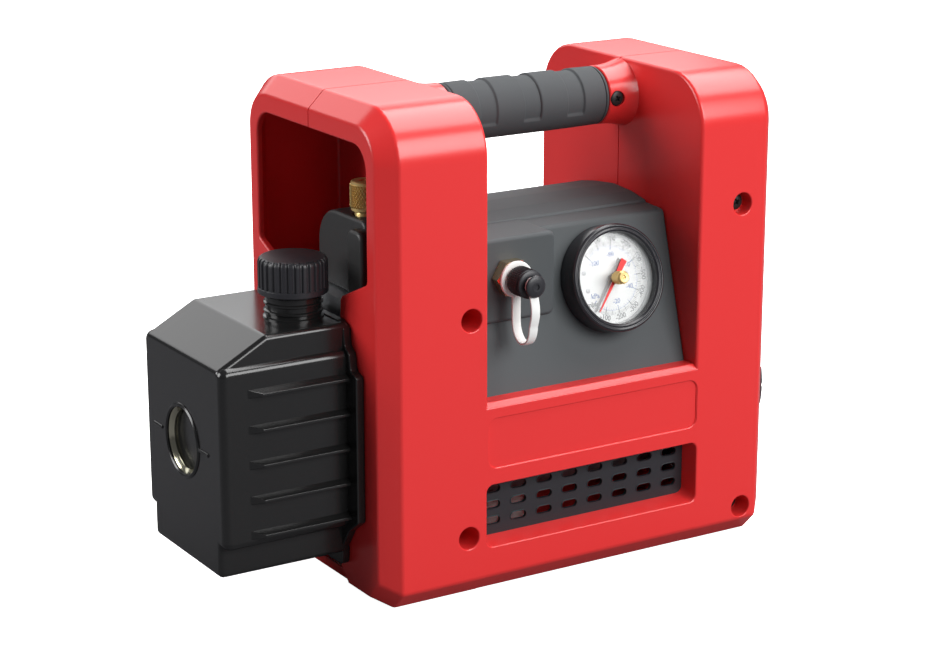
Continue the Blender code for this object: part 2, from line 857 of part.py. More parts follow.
def housing_screws(material):
    mesh = screw_mesh(SCREW_HEAD, SCREW_HEAD_HIGH, SCREW_SHANK, POST_FLOOR + SCREW_GRIP)
    for number, (x, z, depth) in enumerate(SCREW_PLACES, 1):
        add(f"housing_screw_{number}", mesh.copy(), material, at(x, seat_y(depth), z, TO_FRONT))


def boss_screw_places():
    right = GRIP_RIGHT + RING_WIDTH + BOSS_SCREW_OFFSET
    left = GRIP_LEFT - RING_WIDTH - BOSS_SCREW_OFFSET
    return left, right


def handle(rubber, steel, black):
    """The steel tube between the hoops, with the rubber grip, its end rings and screws."""
    inner = TUBE_RADIUS - TUBE_WALL
    left = SADDLE_LEFT - TUBE_END_MARGIN
    right = SADDLE_RIGHT + TUBE_END_MARGIN
    ring = [(TUBE_RADIUS, right), (TUBE_RADIUS, left), (inner, left), (inner, right)]
    tube = add("handle_tube", turned(ring, 12, True), steel, at(0, 0, HANDLE_Z, ALONG_X))
    for number, x in enumerate(boss_screw_places(), 1):
        hole = cylinder(SCREW_SHANK + 2 * GAP, 0, TUBE_RADIUS + OVERCUT, 10)
        cut(tube, add(f"tube_hole_{number}", hole, place=at(x, 0, HANDLE_Z, TO_FRONT)))
        mesh = screw_mesh(BOSS_SCREW_HEAD, BOSS_SCREW_HIGH, SCREW_SHANK, BOSS_SCREW_LONG)
        add(f"handle_screw_{number}", mesh, black, at(x, -BOSS_SCREW_SEAT, HANDLE_Z, TO_FRONT))
    bore = TUBE_RADIUS + GAP
    groove = GRIP_RADIUS - RIM_GROOVE
    soft = [
        (GRIP_RADIUS, GRIP_RIGHT + RING_WIDTH),
        (GRIP_RADIUS, GRIP_RIGHT + RIM_GROOVE),
        (groove, GRIP_RIGHT + RIM_GROOVE),
        (groove, GRIP_RIGHT),
        (GRIP_RADIUS, GRIP_RIGHT - RIM_GROOVE),
        (GRIP_RADIUS, GRIP_LEFT + RIM_GROOVE),
        (groove, GRIP_LEFT),
        (groove, GRIP_LEFT - RIM_GROOVE),
        (GRIP_RADIUS, GRIP_LEFT - RIM_GROOVE),
        (GRIP_RADIUS, GRIP_LEFT - RING_WIDTH),
        (bore, GRIP_LEFT - RING_WIDTH),
        (bore, GRIP_RIGHT + RING_WIDTH),
    ]
    grip = add("handle_grip", turned(soft, 16, True), rubber, at(0, 0, HANDLE_Z, ALONG_X))
    middle = (GRIP_LEFT + GRIP_RIGHT) / 2
    inner = GRIP_RADIUS - GRIP_RECESS
    outer = GRIP_RADIUS + OVERCUT
    low = box((-0.1, -0.05, HANDLE_Z - 0.05), (0.1, 0.05, RECESS_LOW_Z))
    lower_half = add("grip_lower_part", low)
    for step in (-1, 0, 1):
        x = middle + step * RECESS_PITCH
        band = [
            (outer, x + RECESS_WIDTH / 2 + OVERCUT),
            (outer, x - RECESS_WIDTH / 2),
            (inner, x - RECESS_WIDTH / 2),
            (inner, x + RECESS_WIDTH / 2 - OVERCUT),
        ]
        ring = add(f"finger_recess_{step + 2}", turned(band, 16, True), place=at(0, 0, HANDLE_Z, ALONG_X))
        cut(grip, cut(ring, lower_half))


def front_tilt():
    """Lean of the front panel back from the vertical."""
    return math.atan2(COVER_EDGE_Y + COVER_FOOT, COVER_EDGE_Z - SADDLE_FLOOR)


def panel_place(x, drop):
    """A frame on the front panel: local Z out of it and local Y up it, drop below its top edge."""
    tilt = front_tilt()
    up = Vector((0, math.sin(tilt), math.cos(tilt)))
    out = Vector((0, -math.cos(tilt), math.sin(tilt)))
    point = Vector((x, COVER_EDGE_Y, COVER_EDGE_Z)) - up * drop
    turn = Matrix((Vector((1, 0, 0)), up, out)).transposed().to_4x4()
    return Matrix.Translation(point) @ turn


def back_place(x, drop):
    """The same kind of frame on the cover's back."""
    tilt = math.atan2(COVER_FOOT - COVER_BACK_Y, COVER_BACK_Z - SADDLE_FLOOR)
    up = Vector((0, -math.sin(tilt), math.cos(tilt)))
    out = Vector((0, math.cos(tilt), math.sin(tilt)))
    point = Vector((x, COVER_BACK_Y, COVER_BACK_Z)) - up * drop
    turn = Matrix((Vector((-1, 0, 0)), up, out)).transposed().to_4x4()
    return Matrix.Translation(point) @ turn


def cover_outline(inset):
    """The cover's section in Y and Z, drawn in by its wall."""
    foot = COVER_FOOT - inset
    lean = inset * 1.04
    base = SADDLE_FLOOR + GAP if inset == 0 else SADDLE_FLOOR - OVERCUT
    half = COVER_CROWN_Z - inset
    return rounded(
        [
            (-foot, base, 0),
            (COVER_EDGE_Y + lean, COVER_EDGE_Z - inset, 0.003),
            (COVER_STEP_Y + inset, COVER_EDGE_Z + 0.0012 - inset, 0),
            (COVER_STEP_Y + 0.0127, half - 0.001, 0),
            (COVER_CROWN_Y, half, 0),
            (COVER_CROWN_Y + 0.018, half - 0.002, 0),
            (COVER_BACK_Y - 0.008, half - 0.0043, 0),
            (COVER_BACK_Y - lean, COVER_BACK_Z - inset, 0.004),
            (foot, base, 0),
        ],
        4,
    )


def control_cover(charcoal):
    """The hollow cover between the hoops, with the raised port boss and the gauge collar."""
    left = SADDLE_LEFT + COVER_GAP
    right = SADDLE_RIGHT - COVER_GAP
    cover = add("control_cover", prism(cover_outline(0), left, right), charcoal, ALONG_X)
    port = rounded(
        [
            (left, PORT_LOW, 0),
            (PORT_RIGHT, PORT_LOW, 0),
            (PORT_RIGHT, PORT_TOP, PORT_ROUND),
            (left, PORT_TOP, 0),
        ]
    )
    boss = add("port_boss", prism(port, -COVER_STEP_Y, -PORT_FACE), place=TO_FRONT)
    bevel = boss.modifiers.new("Soft edges", "BEVEL")
    bevel.width = PORT_ROUND / 2
    bevel.segments = 3
    bevel.angle_limit = math.radians(50)
    collar = cylinder(COLLAR_RADIUS, -COVER_WALL / 2, COLLAR_HIGH, 40)
    join(cover, boss, add("gauge_collar", collar, place=panel_place(GAUGE_X, GAUGE_DROP)))
    wall = COVER_WALL
    hollow = prism(cover_outline(wall), left + wall, right - wall)
    port_hollow = box(
        (left + wall, PORT_FACE + wall, PORT_LOW + 2 * wall),
        (PORT_RIGHT - wall, -0.030, PORT_TOP - wall),
    )
    gauge_hole = cylinder(CASE_RADIUS + GAP, -COVER_WALL * 3, COLLAR_HIGH + OVERCUT, 32)
    port_hole = cylinder(NOSE_RADIUS + 0.002, -PORT_FACE - 3 * wall, -PORT_FACE + OVERCUT, 16)
    pipe_hole = cylinder(PIPE_RADIUS + 0.002, left - OVERCUT, left + 2 * wall, 16)
    notch = cylinder(MOTOR_RADIUS + RUNNING, right - 2 * wall, right + OVERCUT, 40)
    switch_hole = prism(rounded_box(SWITCH_WIDE / 2, SWITCH_TALL / 2, 0.001), -3 * wall, OVERCUT)
    inlet_hole = prism(rounded_box(INLET_WIDE / 2, INLET_TALL / 2, 0.003), -3 * wall, OVERCUT)
    cut(
        cover,
        add("cover_hollow", hollow, place=ALONG_X),
        add("port_hollow", port_hollow),
        add("gauge_hole", gauge_hole, place=panel_place(GAUGE_X, GAUGE_DROP)),
        add("port_hole", port_hole, place=at(INTAKE_X, 0, INTAKE_Z, TO_FRONT)),
        add("cover_motor_notch", notch, place=at(0, 0, AXIS_Z, ALONG_X)),
        add("cover_pipe_hole", pipe_hole, place=at(0, PIPE_Y, INTAKE_Z, ALONG_X)),
        add("switch_hole", switch_hole, place=back_place(SWITCH_X, REAR_DROP)),
        add("inlet_hole", inlet_hole, place=back_place(INLET_X, REAR_DROP)),
    )


def needle(length, tail, widths, low):
    """A flat pointer along local X, its half widths given at the root, the tip and the tail."""
    root, tip, end = widths
    outline = [(0, -root), (length, -tip), (length, tip), (0, root), (-tail, end), (-tail, -end)]
    return prism(outline, low, low + POINTER_THICK)


def gauge(steel, black, white, glass, red, brass):
    """The vacuum gauge: case, Bourdon tube, dial, pointers, glass, bezel and the set knob."""
    place = panel_place(GAUGE_X, GAUGE_DROP)
    inner = CASE_RADIUS - CASE_WALL
    dial_low = DIAL_TOP - DIAL_THICK
    rim = dial_low - GAP
    profile = [
        (0, -CASE_DEPTH - GAUGE_STEM_LONG),
        (GAUGE_STEM, -CASE_DEPTH - GAUGE_STEM_LONG),
        (GAUGE_STEM, -CASE_DEPTH),
        (CASE_RADIUS, -CASE_DEPTH),
        (CASE_RADIUS, rim),
        (inner, rim),
        (inner, -CASE_DEPTH + CASE_WALL),
        (0, -CASE_DEPTH + CASE_WALL),
    ]
    add("gauge_case", turned(list(reversed(profile)), 16), steel, place)
    ring = [
        (BEZEL_SIGHT + 0.0006, BEZEL_FRONT),
        (BEZEL_RADIUS - 0.001, BEZEL_FRONT),
        (BEZEL_RADIUS, BEZEL_FRONT - 0.001),
        (BEZEL_RADIUS, COLLAR_HIGH + GAP),
        (CASE_RADIUS + GAP, COLLAR_HIGH + GAP),
        (CASE_RADIUS + GAP, GLASS_TOP + GAP),
        (BEZEL_SIGHT, GLASS_TOP + GAP),
    ]
    add("gauge_bezel", turned(ring, 24, True), black, place)
    add("gauge_dial", cylinder(CASE_RADIUS, dial_low, DIAL_TOP, 16), white, place)
    pane = [
        (CASE_RADIUS, GLASS_TOP),
        (CASE_RADIUS, DIAL_TOP + GAP),
        (CASE_RADIUS - 0.0012, DIAL_TOP + GAP),
        (CASE_RADIUS - 0.0012, GLASS_TOP - GLASS_THICK),
        (STEM_RADIUS + GAP, GLASS_TOP - GLASS_THICK),
        (STEM_RADIUS + GAP, GLASS_TOP),
    ]
    add("gauge_glass", turned(pane, 16, True), glass, place)
    turn = Matrix.Rotation(math.radians(POINTER_ANGLE), 4, "Z")
    hub = add("pointer_hub", cylinder(POINTER_HUB, POINTER_LEVEL, POINTER_LEVEL + POINTER_THICK, 12))
    widths = (POINTER_ROOT, POINTER_TIP, POINTER_TAIL_HALF)
    blade = needle(POINTER_LONG, POINTER_TAIL, widths, POINTER_LEVEL)
    pointer = add("gauge_pointer", blade, black, place @ turn)
    hub.matrix_world = place @ turn
    join(pointer, hub)
    turn = Matrix.Rotation(math.radians(SET_ANGLE), 4, "Z")
    blade = needle(SET_LONG, SET_TAIL, (SET_ROOT, SET_TIP, SET_TAIL_HALF), SET_LEVEL)
    set_pointer = add("set_pointer", blade, red, place @ turn)
    hub = add("set_hub", cylinder(SET_HUB, SET_LEVEL, SET_LEVEL + POINTER_THICK, 12), place=place @ turn)
    join(set_pointer, hub)
    knob = [
        (0, KNOB_HIGH),
        (0.8 * KNOB_RADIUS, KNOB_HIGH),
        (KNOB_RADIUS, KNOB_HIGH - 0.0007),
        (KNOB_RADIUS, KNOB_LOW + 0.0007),
        (0.8 * KNOB_RADIUS, KNOB_LOW),
        (STEM_RADIUS, KNOB_LOW),
        (STEM_RADIUS, SET_LEVEL + POINTER_THICK + GAP),
        (0, SET_LEVEL + POINTER_THICK + GAP),
    ]
    add("set_knob", turned(knob, 10), brass, place)


def intake(brass, black, milky, rubber):
    """The intake fitting with its screw cap, the cap's seal and the moulded strap that keeps it."""
    front = -PORT_FACE
    place = at(INTAKE_X, 0, INTAKE_Z, TO_FRONT)
    hex_low = front + GAP
    hex_top = hex_low + HEX_THICK
    fitting = add("intake_fitting", prism(hexagon(HEX_ACROSS), hex_low, hex_top), brass, place)
    nose_top = hex_top + NOSE_LONG
    shank = [
        (0, nose_top),
        (NOSE_RADIUS - 0.002, nose_top),
        (NOSE_RADIUS, nose_top - 0.002),
        (NOSE_RADIUS, hex_low - 0.022),
        (0, hex_low - 0.022),
    ]
    join(fitting, add("intake_shank", turned(shank, 10), place=place))
    bore = cylinder(PORT_BORE, hex_low - 0.023, nose_top + OVERCUT, 12)
    cut(fitting, add("intake_bore", bore, place=place))
    cap_low = front + CAP_START
    cap_top = cap_low + CAP_LONG
    roof = nose_top + GAP + SEAL_DISC
    neck_top = cap_top + BUTTON_PLAY
    button_top = neck_top + BUTTON_HIGH
    inner = NOSE_RADIUS + GAP
    cap = [
        (0, button_top),
        (BUTTON_RADIUS - 0.001, button_top),
        (BUTTON_RADIUS, button_top - 0.001),
        (BUTTON_RADIUS, neck_top),
        (BUTTON_NECK, neck_top),
        (BUTTON_NECK, cap_top),
        (CAP_RADIUS - 0.0006, cap_top),
        (CAP_RADIUS, cap_top - 0.0006),
        (CAP_RADIUS, cap_low + 0.0006),
        (CAP_RADIUS - 0.0006, cap_low),
        (inner, cap_low),
        (inner, roof + GAP),
        (0, roof + GAP),
    ]
    add("intake_cap", turned(cap, 12), black, place)
    add("intake_cap_seal", cylinder(NOSE_RADIUS, nose_top + GAP, roof, 10), rubber, place)
    strap(milky, hex_top, cap_top, place)


def strap(milky, hex_top, cap_top, place):
    """The moulded strap: a ring round the nose, a hanging loop, and an eye round the cap's neck."""
    ring_low = hex_top + GAP
    ring_high = ring_low + 0.0018
    eye_low = cap_top + STRAP_EYE_GAP
    eye_high = eye_low + STRAP_THICK
    hole = NOSE_RADIUS + GAP
    eye = BUTTON_NECK + GAP
    ring = [(STRAP_RING, ring_high), (STRAP_RING, ring_low), (hole, ring_low), (hole, ring_high)]
    tether = add("cap_strap", turned(ring, 12, True), milky, place)
    outer = eye + 0.0022
    eyelet = [(outer, eye_high), (outer, eye_low), (eye, eye_low), (eye, eye_high)]
    half = STRAP_WIDTH / 2
    back = (ring_low + ring_high) / 2
    fore = (eye_low + eye_high) / 2
    route = []
    middle = (back + fore) / 2
    reach = (fore - back) / 2
    top_back = -STRAP_RING + 0.0012
    top_fore = -outer + 0.0010
    for step in range(5):
        route.append((back, top_back + (-STRAP_DROP + reach * 1.2 - top_back) * step / 5))
    for step in range(13):
        angle = math.pi + math.pi * step / 12
        route.append((middle + reach * math.cos(angle), -STRAP_DROP + reach * 1.2 * (1 + math.sin(angle))))
    for step in range(1, 6):
        start = -STRAP_DROP + reach * 1.2
        route.append((fore, start + (top_fore - start) * step / 5))
    band = ribbon(route, half, STRAP_THICK / 2)
    join(tether, add("strap_eye", turned(eyelet, 10, True), place=place))
    join(tether, add("strap_band", band, place=place))


def ribbon(route, half, thick):
    """A flat band along a route of (local Z, local Y) points, its width across local X."""
    sections = []
    count = len(route)
    for index, (z, y) in enumerate(route):
        before = Vector(route[max(index - 1, 0)])
        after = Vector(route[min(index + 1, count - 1)])
        along = (after - before).normalized()
        side = Vector((-along.y, along.x)) * thick
        outer = (z + side.x, y + side.y)
        inner = (z - side.x, y - side.y)
        corners = ((-half, outer), (half, outer), (half, inner), (-half, inner))
        sections.append([(x, end[1], end[0]) for x, end in corners])
    return loft(sections)


def arc_points(centre, first, second, count=6):
    """Points of a quarter turn from centre + first to centre + second."""
    points = []
    for step in range(count + 1):
        angle = math.pi / 2 * step / count
        points.append(Vector(centre) + Vector(first) * math.cos(angle) + Vector(second) * math.sin(angle))
    return points


def suction_line(iron, brass, rubber):
    """The pipe from the intake to the manifold, the manifold on the pump, and the gas ballast valve."""
    start = Vector((MANIFOLD_RIGHT + GAP, PIPE_Y, INTAKE_Z))
    end = Vector((INTAKE_X, PORT_FACE + 0.022 + GAP, INTAKE_Z))
    centre = (INTAKE_X - PIPE_BEND, PIPE_Y - PIPE_BEND, INTAKE_Z)
    bend = arc_points(centre, (0, PIPE_BEND, 0), (PIPE_BEND, 0, 0))
    add("intake_pipe", pipe([start, *bend, end], PIPE_RADIUS), rubber)
    outline = rounded(
        [
            (MANIFOLD_FRONT, PLATE_HIGH + GAP, 0),
            (MANIFOLD_BACK, PLATE_HIGH + GAP, 0),
            (MANIFOLD_BACK, MANIFOLD_TOP, MANIFOLD_ROUND),
            (MANIFOLD_FRONT, MANIFOLD_TOP, 0.003),
        ]
    )
    block = add("intake_manifold", prism(outline, MANIFOLD_LEFT, MANIFOLD_RIGHT), iron, ALONG_X)
    knuckle = rounded(
        [
            (MANIFOLD_FRONT - 0.006, PLATE_HIGH + GAP, 0),
            (MANIFOLD_FRONT + KNUCKLE_WIDE, PLATE_HIGH + GAP, 0),
            (MANIFOLD_FRONT + KNUCKLE_WIDE, MANIFOLD_TOP - 0.0035, 0.004),
            (MANIFOLD_FRONT - 0.006, MANIFOLD_TOP - 0.0035, 0.004),
        ]
    )
    front_boss = prism(knuckle, MANIFOLD_LEFT - KNUCKLE_PROUD, MANIFOLD_LEFT + 0.010)
    join(block, add("manifold_knuckle", front_boss, place=ALONG_X))
    well = cylinder(BALLAST_NECK - 0.001, MANIFOLD_TOP - 0.012, MANIFOLD_TOP + OVERCUT, 16)
    port = cylinder(PORT_BORE, MANIFOLD_RIGHT - 0.012, MANIFOLD_RIGHT + OVERCUT, 12)
    cut(
        block,
        add("ballast_well", well, place=at(BALLAST_X, BALLAST_Y, 0)),
        add("manifold_port", port, place=at(0, PIPE_Y, INTAKE_Z, ALONG_X)),
    )
    top = BALLAST_LOW - GAP
    bore = STEM_RADIUS + 2 * GAP
    valve = [
        (BALLAST_NECK, top),
        (BALLAST_NECK, MANIFOLD_TOP + GAP),
        (BALLAST_NECK - 0.001 - GAP, MANIFOLD_TOP + GAP),
        (BALLAST_NECK - 0.001 - GAP, MANIFOLD_TOP - 0.010),
        (bore, MANIFOLD_TOP - 0.010),
        (bore, top),
    ]
    add("ballast_valve", turned(valve, 10, True), brass, at(BALLAST_X, BALLAST_Y, 0))
    stem = cylinder(STEM_RADIUS, MANIFOLD_TOP - 0.009, BALLAST_LOW + 0.006, 10)
    add("ballast_stem", stem, brass, at(BALLAST_X, BALLAST_Y, 0))
    socket = STEM_RADIUS + GAP
    knob = [
        (0, BALLAST_HIGH),
        (BALLAST_KNOB - 0.001, BALLAST_HIGH),
        (BALLAST_KNOB, BALLAST_HIGH - 0.001),
        (BALLAST_KNOB, BALLAST_LOW + 0.0006),
        (BALLAST_KNOB - 0.0006, BALLAST_LOW),
        (socket, BALLAST_LOW),
        (socket, BALLAST_LOW + 0.006 + GAP),
        (0, BALLAST_LOW + 0.006 + GAP),
    ]
    add("ballast_knob", turned(knob, 12), brass, at(BALLAST_X, BALLAST_Y, 0))


def tank_bolt_places():
    side = (TANK_HALF + FLANGE_HALF) / 2
    return (
        ("1", -side, 0.055),
        ("2", side, 0.055),
        ("3", -side, 0.105),
        ("4", side, 0.105),
    )


def flange_outline():
    """The tank's flange, which widens at the height of the ribs."""
    return rounded(
        both_sides(
            [
                (0.0362, 0.0165, 0.002),
                (0.0367, 0.0264, 0),
                (0.0438, 0.0367, 0.003),
                (FLANGE_HALF, 0.0436, 0.002),
                (FLANGE_HALF, 0.1185, 0.001),
                (0.0475, 0.1203, 0.001),
                (0.0459, 0.1288, 0.001),
                (0.0419, 0.1315, 0.001),
                (0.0408, 0.1405, 0.002),
                (0.0345, TANK_TOP + 0.0005, 0.002),
            ]
        ),
        3,
    )


def tank_outline(inset):
    """The tank's section in Y and Z, drawn in by its wall."""
    half = TANK_HALF - inset
    foot = TANK_FOOT_HALF - inset
    band = TANK_BAND - inset
    return rounded(
        both_sides(
            [
                (foot, TANK_LOW + inset, 0.002),
                (foot, TANK_FOOT_TOP + 0.3 * inset, 0),
                (half, TANK_FOOT_TOP + 0.004 + 0.3 * inset, 0.001),
                (half, TANK_SHOULDER, 0.002),
                (band, TANK_BAND_LOW, 0.001),
                (band, TANK_TOP - inset, TANK_TOP_ROUND - inset / 2),
            ]
        ),
        3,
    )


def tank_rib(side, top):
    """A wedge rib: its base on the tank's wall, its ridge lower and shorter."""
    base = side * (TANK_HALF - OVERCUT)
    ridge = side * RIB_OUT
    right = TANK_BACK - FLANGE_THICK / 2
    low = top - RIB_DEEP
    ridge_top = top - RIB_DROP
    ridge_low = ridge_top - 0.0008
    left = RIB_LEFT + RIB_RUN
    return hull(
        [
            (RIB_LEFT, base, top),
            (right, base, top),
            (RIB_LEFT, base, low),
            (right, base, low),
            (left, ridge, ridge_top),
            (right, ridge, ridge_top),
            (left, ridge, ridge_low),
            (right, ridge, ridge_low),
        ]
    )


def oil_tank(black, metal, glass, rubber):
    """The oil tank with its ribs and flange, the sight glass, the filler cap and the drain plug."""
    tank = add("oil_tank", prism(tank_outline(0), TANK_END, TANK_BACK - OVERCUT), black, ALONG_X)
    slope_run = TANK_SLOPE_END - TANK_END
    slope_rise = TANK_TOP - TANK_SLOPE_LOW
    wedge = [
        (TANK_END - slope_run, TANK_SLOPE_LOW - slope_rise),
        (TANK_SLOPE_END + slope_run, TANK_TOP + slope_rise),
        (TANK_END - slope_run, TANK_TOP + 2 * slope_rise),
    ]
    cut(tank, add("tank_slope", prism(wedge, -0.06, 0.06), place=TO_FRONT))
    for side, word in ((-1, "front"), (1, "back")):
        low = TANK_END - OVERCUT
        corner = [
            (low, side * (TANK_HALF - TANK_CORNER * 0.6)),
            (TANK_END + TANK_CORNER * 0.6, side * (TANK_HALF + OVERCUT)),
            (low, side * (TANK_HALF + OVERCUT)),
        ]
        cut(tank, add(f"tank_{word}_corner", prism(corner[:: -side], 0.0, 0.2)))
    flange = prism(flange_outline(), TANK_BACK - FLANGE_THICK, TANK_BACK)
    join(tank, add("tank_flange", flange, place=ALONG_X))
    for side, word in ((-1, "front"), (1, "back")):
        for number in range(RIB_COUNT):
            rib = tank_rib(side, RIB_TOP - number * RIB_PITCH)
            join(tank, add(f"{word}_rib_{number + 1}", rib))
    neck = cylinder(FILL_NECK, TANK_TOP - TANK_WALL / 2, FILL_NECK_TOP, 16)
    join(tank, add("fill_neck", neck, place=at(FILL_X, FILL_Y, 0)))
    inner = prism(tank_outline(TANK_WALL), TANK_END + TANK_WALL, TANK_BACK - TANK_WALL)
    hollow = add("tank_hollow", inner, place=ALONG_X)
    shifted = [(x + 0.4 * TANK_WALL, z - TANK_WALL) for x, z in wedge]
    cut(hollow, add("hollow_slope", prism(shifted, -0.06, 0.06), place=TO_FRONT))
    neck_bore = cylinder(FILL_BORE, TANK_TOP - 2 * TANK_WALL, FILL_NECK_TOP + OVERCUT, 16)
    mouth_radius = NECK_RADIUS + 2 * SEAL_SECTION + 4 * GAP
    mouth = cylinder(mouth_radius, TANK_BACK - 2 * TANK_WALL, TANK_BACK + OVERCUT, 20)
    window = cylinder(SIGHT_RADIUS + GAP, TANK_END - OVERCUT, TANK_END + 2 * TANK_WALL, 20)
    drain = cylinder(DRAIN_RADIUS + GAP, TANK_LOW - OVERCUT, TANK_LOW + 2 * TANK_WALL, 10)
    cut(
        tank,
        hollow,
        add("fill_bore", neck_bore, place=at(FILL_X, FILL_Y, 0)),
        add("tank_mouth", mouth, place=at(0, 0, AXIS_Z, ALONG_X)),
        add("sight_hole", window, place=at(0, SIGHT_Y, SIGHT_Z, ALONG_X)),
        add("drain_hole", drain, place=at(DRAIN_X, 0, 0)),
    )
    for name, y, z in tank_bolt_places():
        hole = cylinder(TANK_BOLT + GAP, TANK_BACK - FLANGE_THICK + OVERCUT, TANK_BACK + OVERCUT, 10)
        cut(tank, add(f"flange_hole_{name}", hole, place=at(0, y, z, ALONG_X)))
    tank_fittings(black, metal, glass, rubber)


def tank_fittings(black, metal, glass, rubber):
    """The sight glass and its ring, the filler cap with its seal, the drain plug and the tank seal."""
    face = TANK_END
    place = at(0, SIGHT_Y, SIGHT_Z, ALONG_X)
    bore = SIGHT_RADIUS - 0.003
    ring = [
        (SIGHT_RING, face - GAP),
        (SIGHT_RING, face - SIGHT_PROUD),
        (bore, face - SIGHT_PROUD),
        (bore, face + 0.002),
        (SIGHT_RADIUS, face + 0.002),
        (SIGHT_RADIUS, face - GAP),
    ]
    add("sight_ring", turned(ring, 16, True), metal, place)
    pane = cylinder(SIGHT_RADIUS, face + 0.002 + GAP, face + 0.002 + GAP + 0.002, 20)
    add("sight_glass", pane, glass, place)
    place = at(FILL_X, FILL_Y, 0)
    teeth = []
    count = 2 * FILL_FLUTES
    for index in range(count):
        radius = FILL_CAP - GAP - (FILL_FLUTE_DEEP if index % 2 else 0)
        angle = 2 * math.pi * index / count
        teeth.append((radius * math.cos(angle), radius * math.sin(angle)))
    cap = add("oil_fill_cap", prism(teeth, FILL_CAP_LOW + 0.003, FILL_CAP_HIGH), black, place)
    rim = cylinder(FILL_CAP, FILL_CAP_LOW, FILL_CAP_LOW + 0.0035, 28)
    plug_low = FILL_CAP_LOW - FILL_PLUG_LONG
    plug = cylinder(FILL_PLUG, plug_low, FILL_CAP_LOW + OVERCUT, 20)
    join(cap, add("cap_rim", rim, place=place), add("cap_plug", plug, place=place))
    seal = [
        (FILL_NECK, FILL_CAP_LOW - GAP),
        (FILL_NECK, FILL_NECK_TOP + GAP),
        (FILL_PLUG + RUNNING, FILL_NECK_TOP + GAP),
        (FILL_PLUG + RUNNING, FILL_CAP_LOW - GAP),
    ]
    add("filler_seal", turned(seal, 12, True), rubber, place)
    place = at(DRAIN_X, 0, 0)
    head_top = TANK_LOW - GAP
    drain = add("drain_plug", prism(hexagon(DRAIN_HEX), head_top - DRAIN_HIGH, head_top), metal, place)
    thread = cylinder(DRAIN_RADIUS, head_top - OVERCUT, TANK_LOW + TANK_WALL, 10)
    join(drain, add("drain_thread", thread, place=place))
    middle = NECK_RADIUS + 2 * GAP + SEAL_SECTION
    loop = []
    for step in range(6):
        angle = 2 * math.pi * step / 6
        loop.append((middle + SEAL_SECTION * math.cos(angle), SEAL_SECTION * math.sin(angle)))
    add("tank_seal", turned(loop, 16, True), rubber, at(TANK_BACK - TANK_WALL / 2, 0, AXIS_Z, ALONG_X))


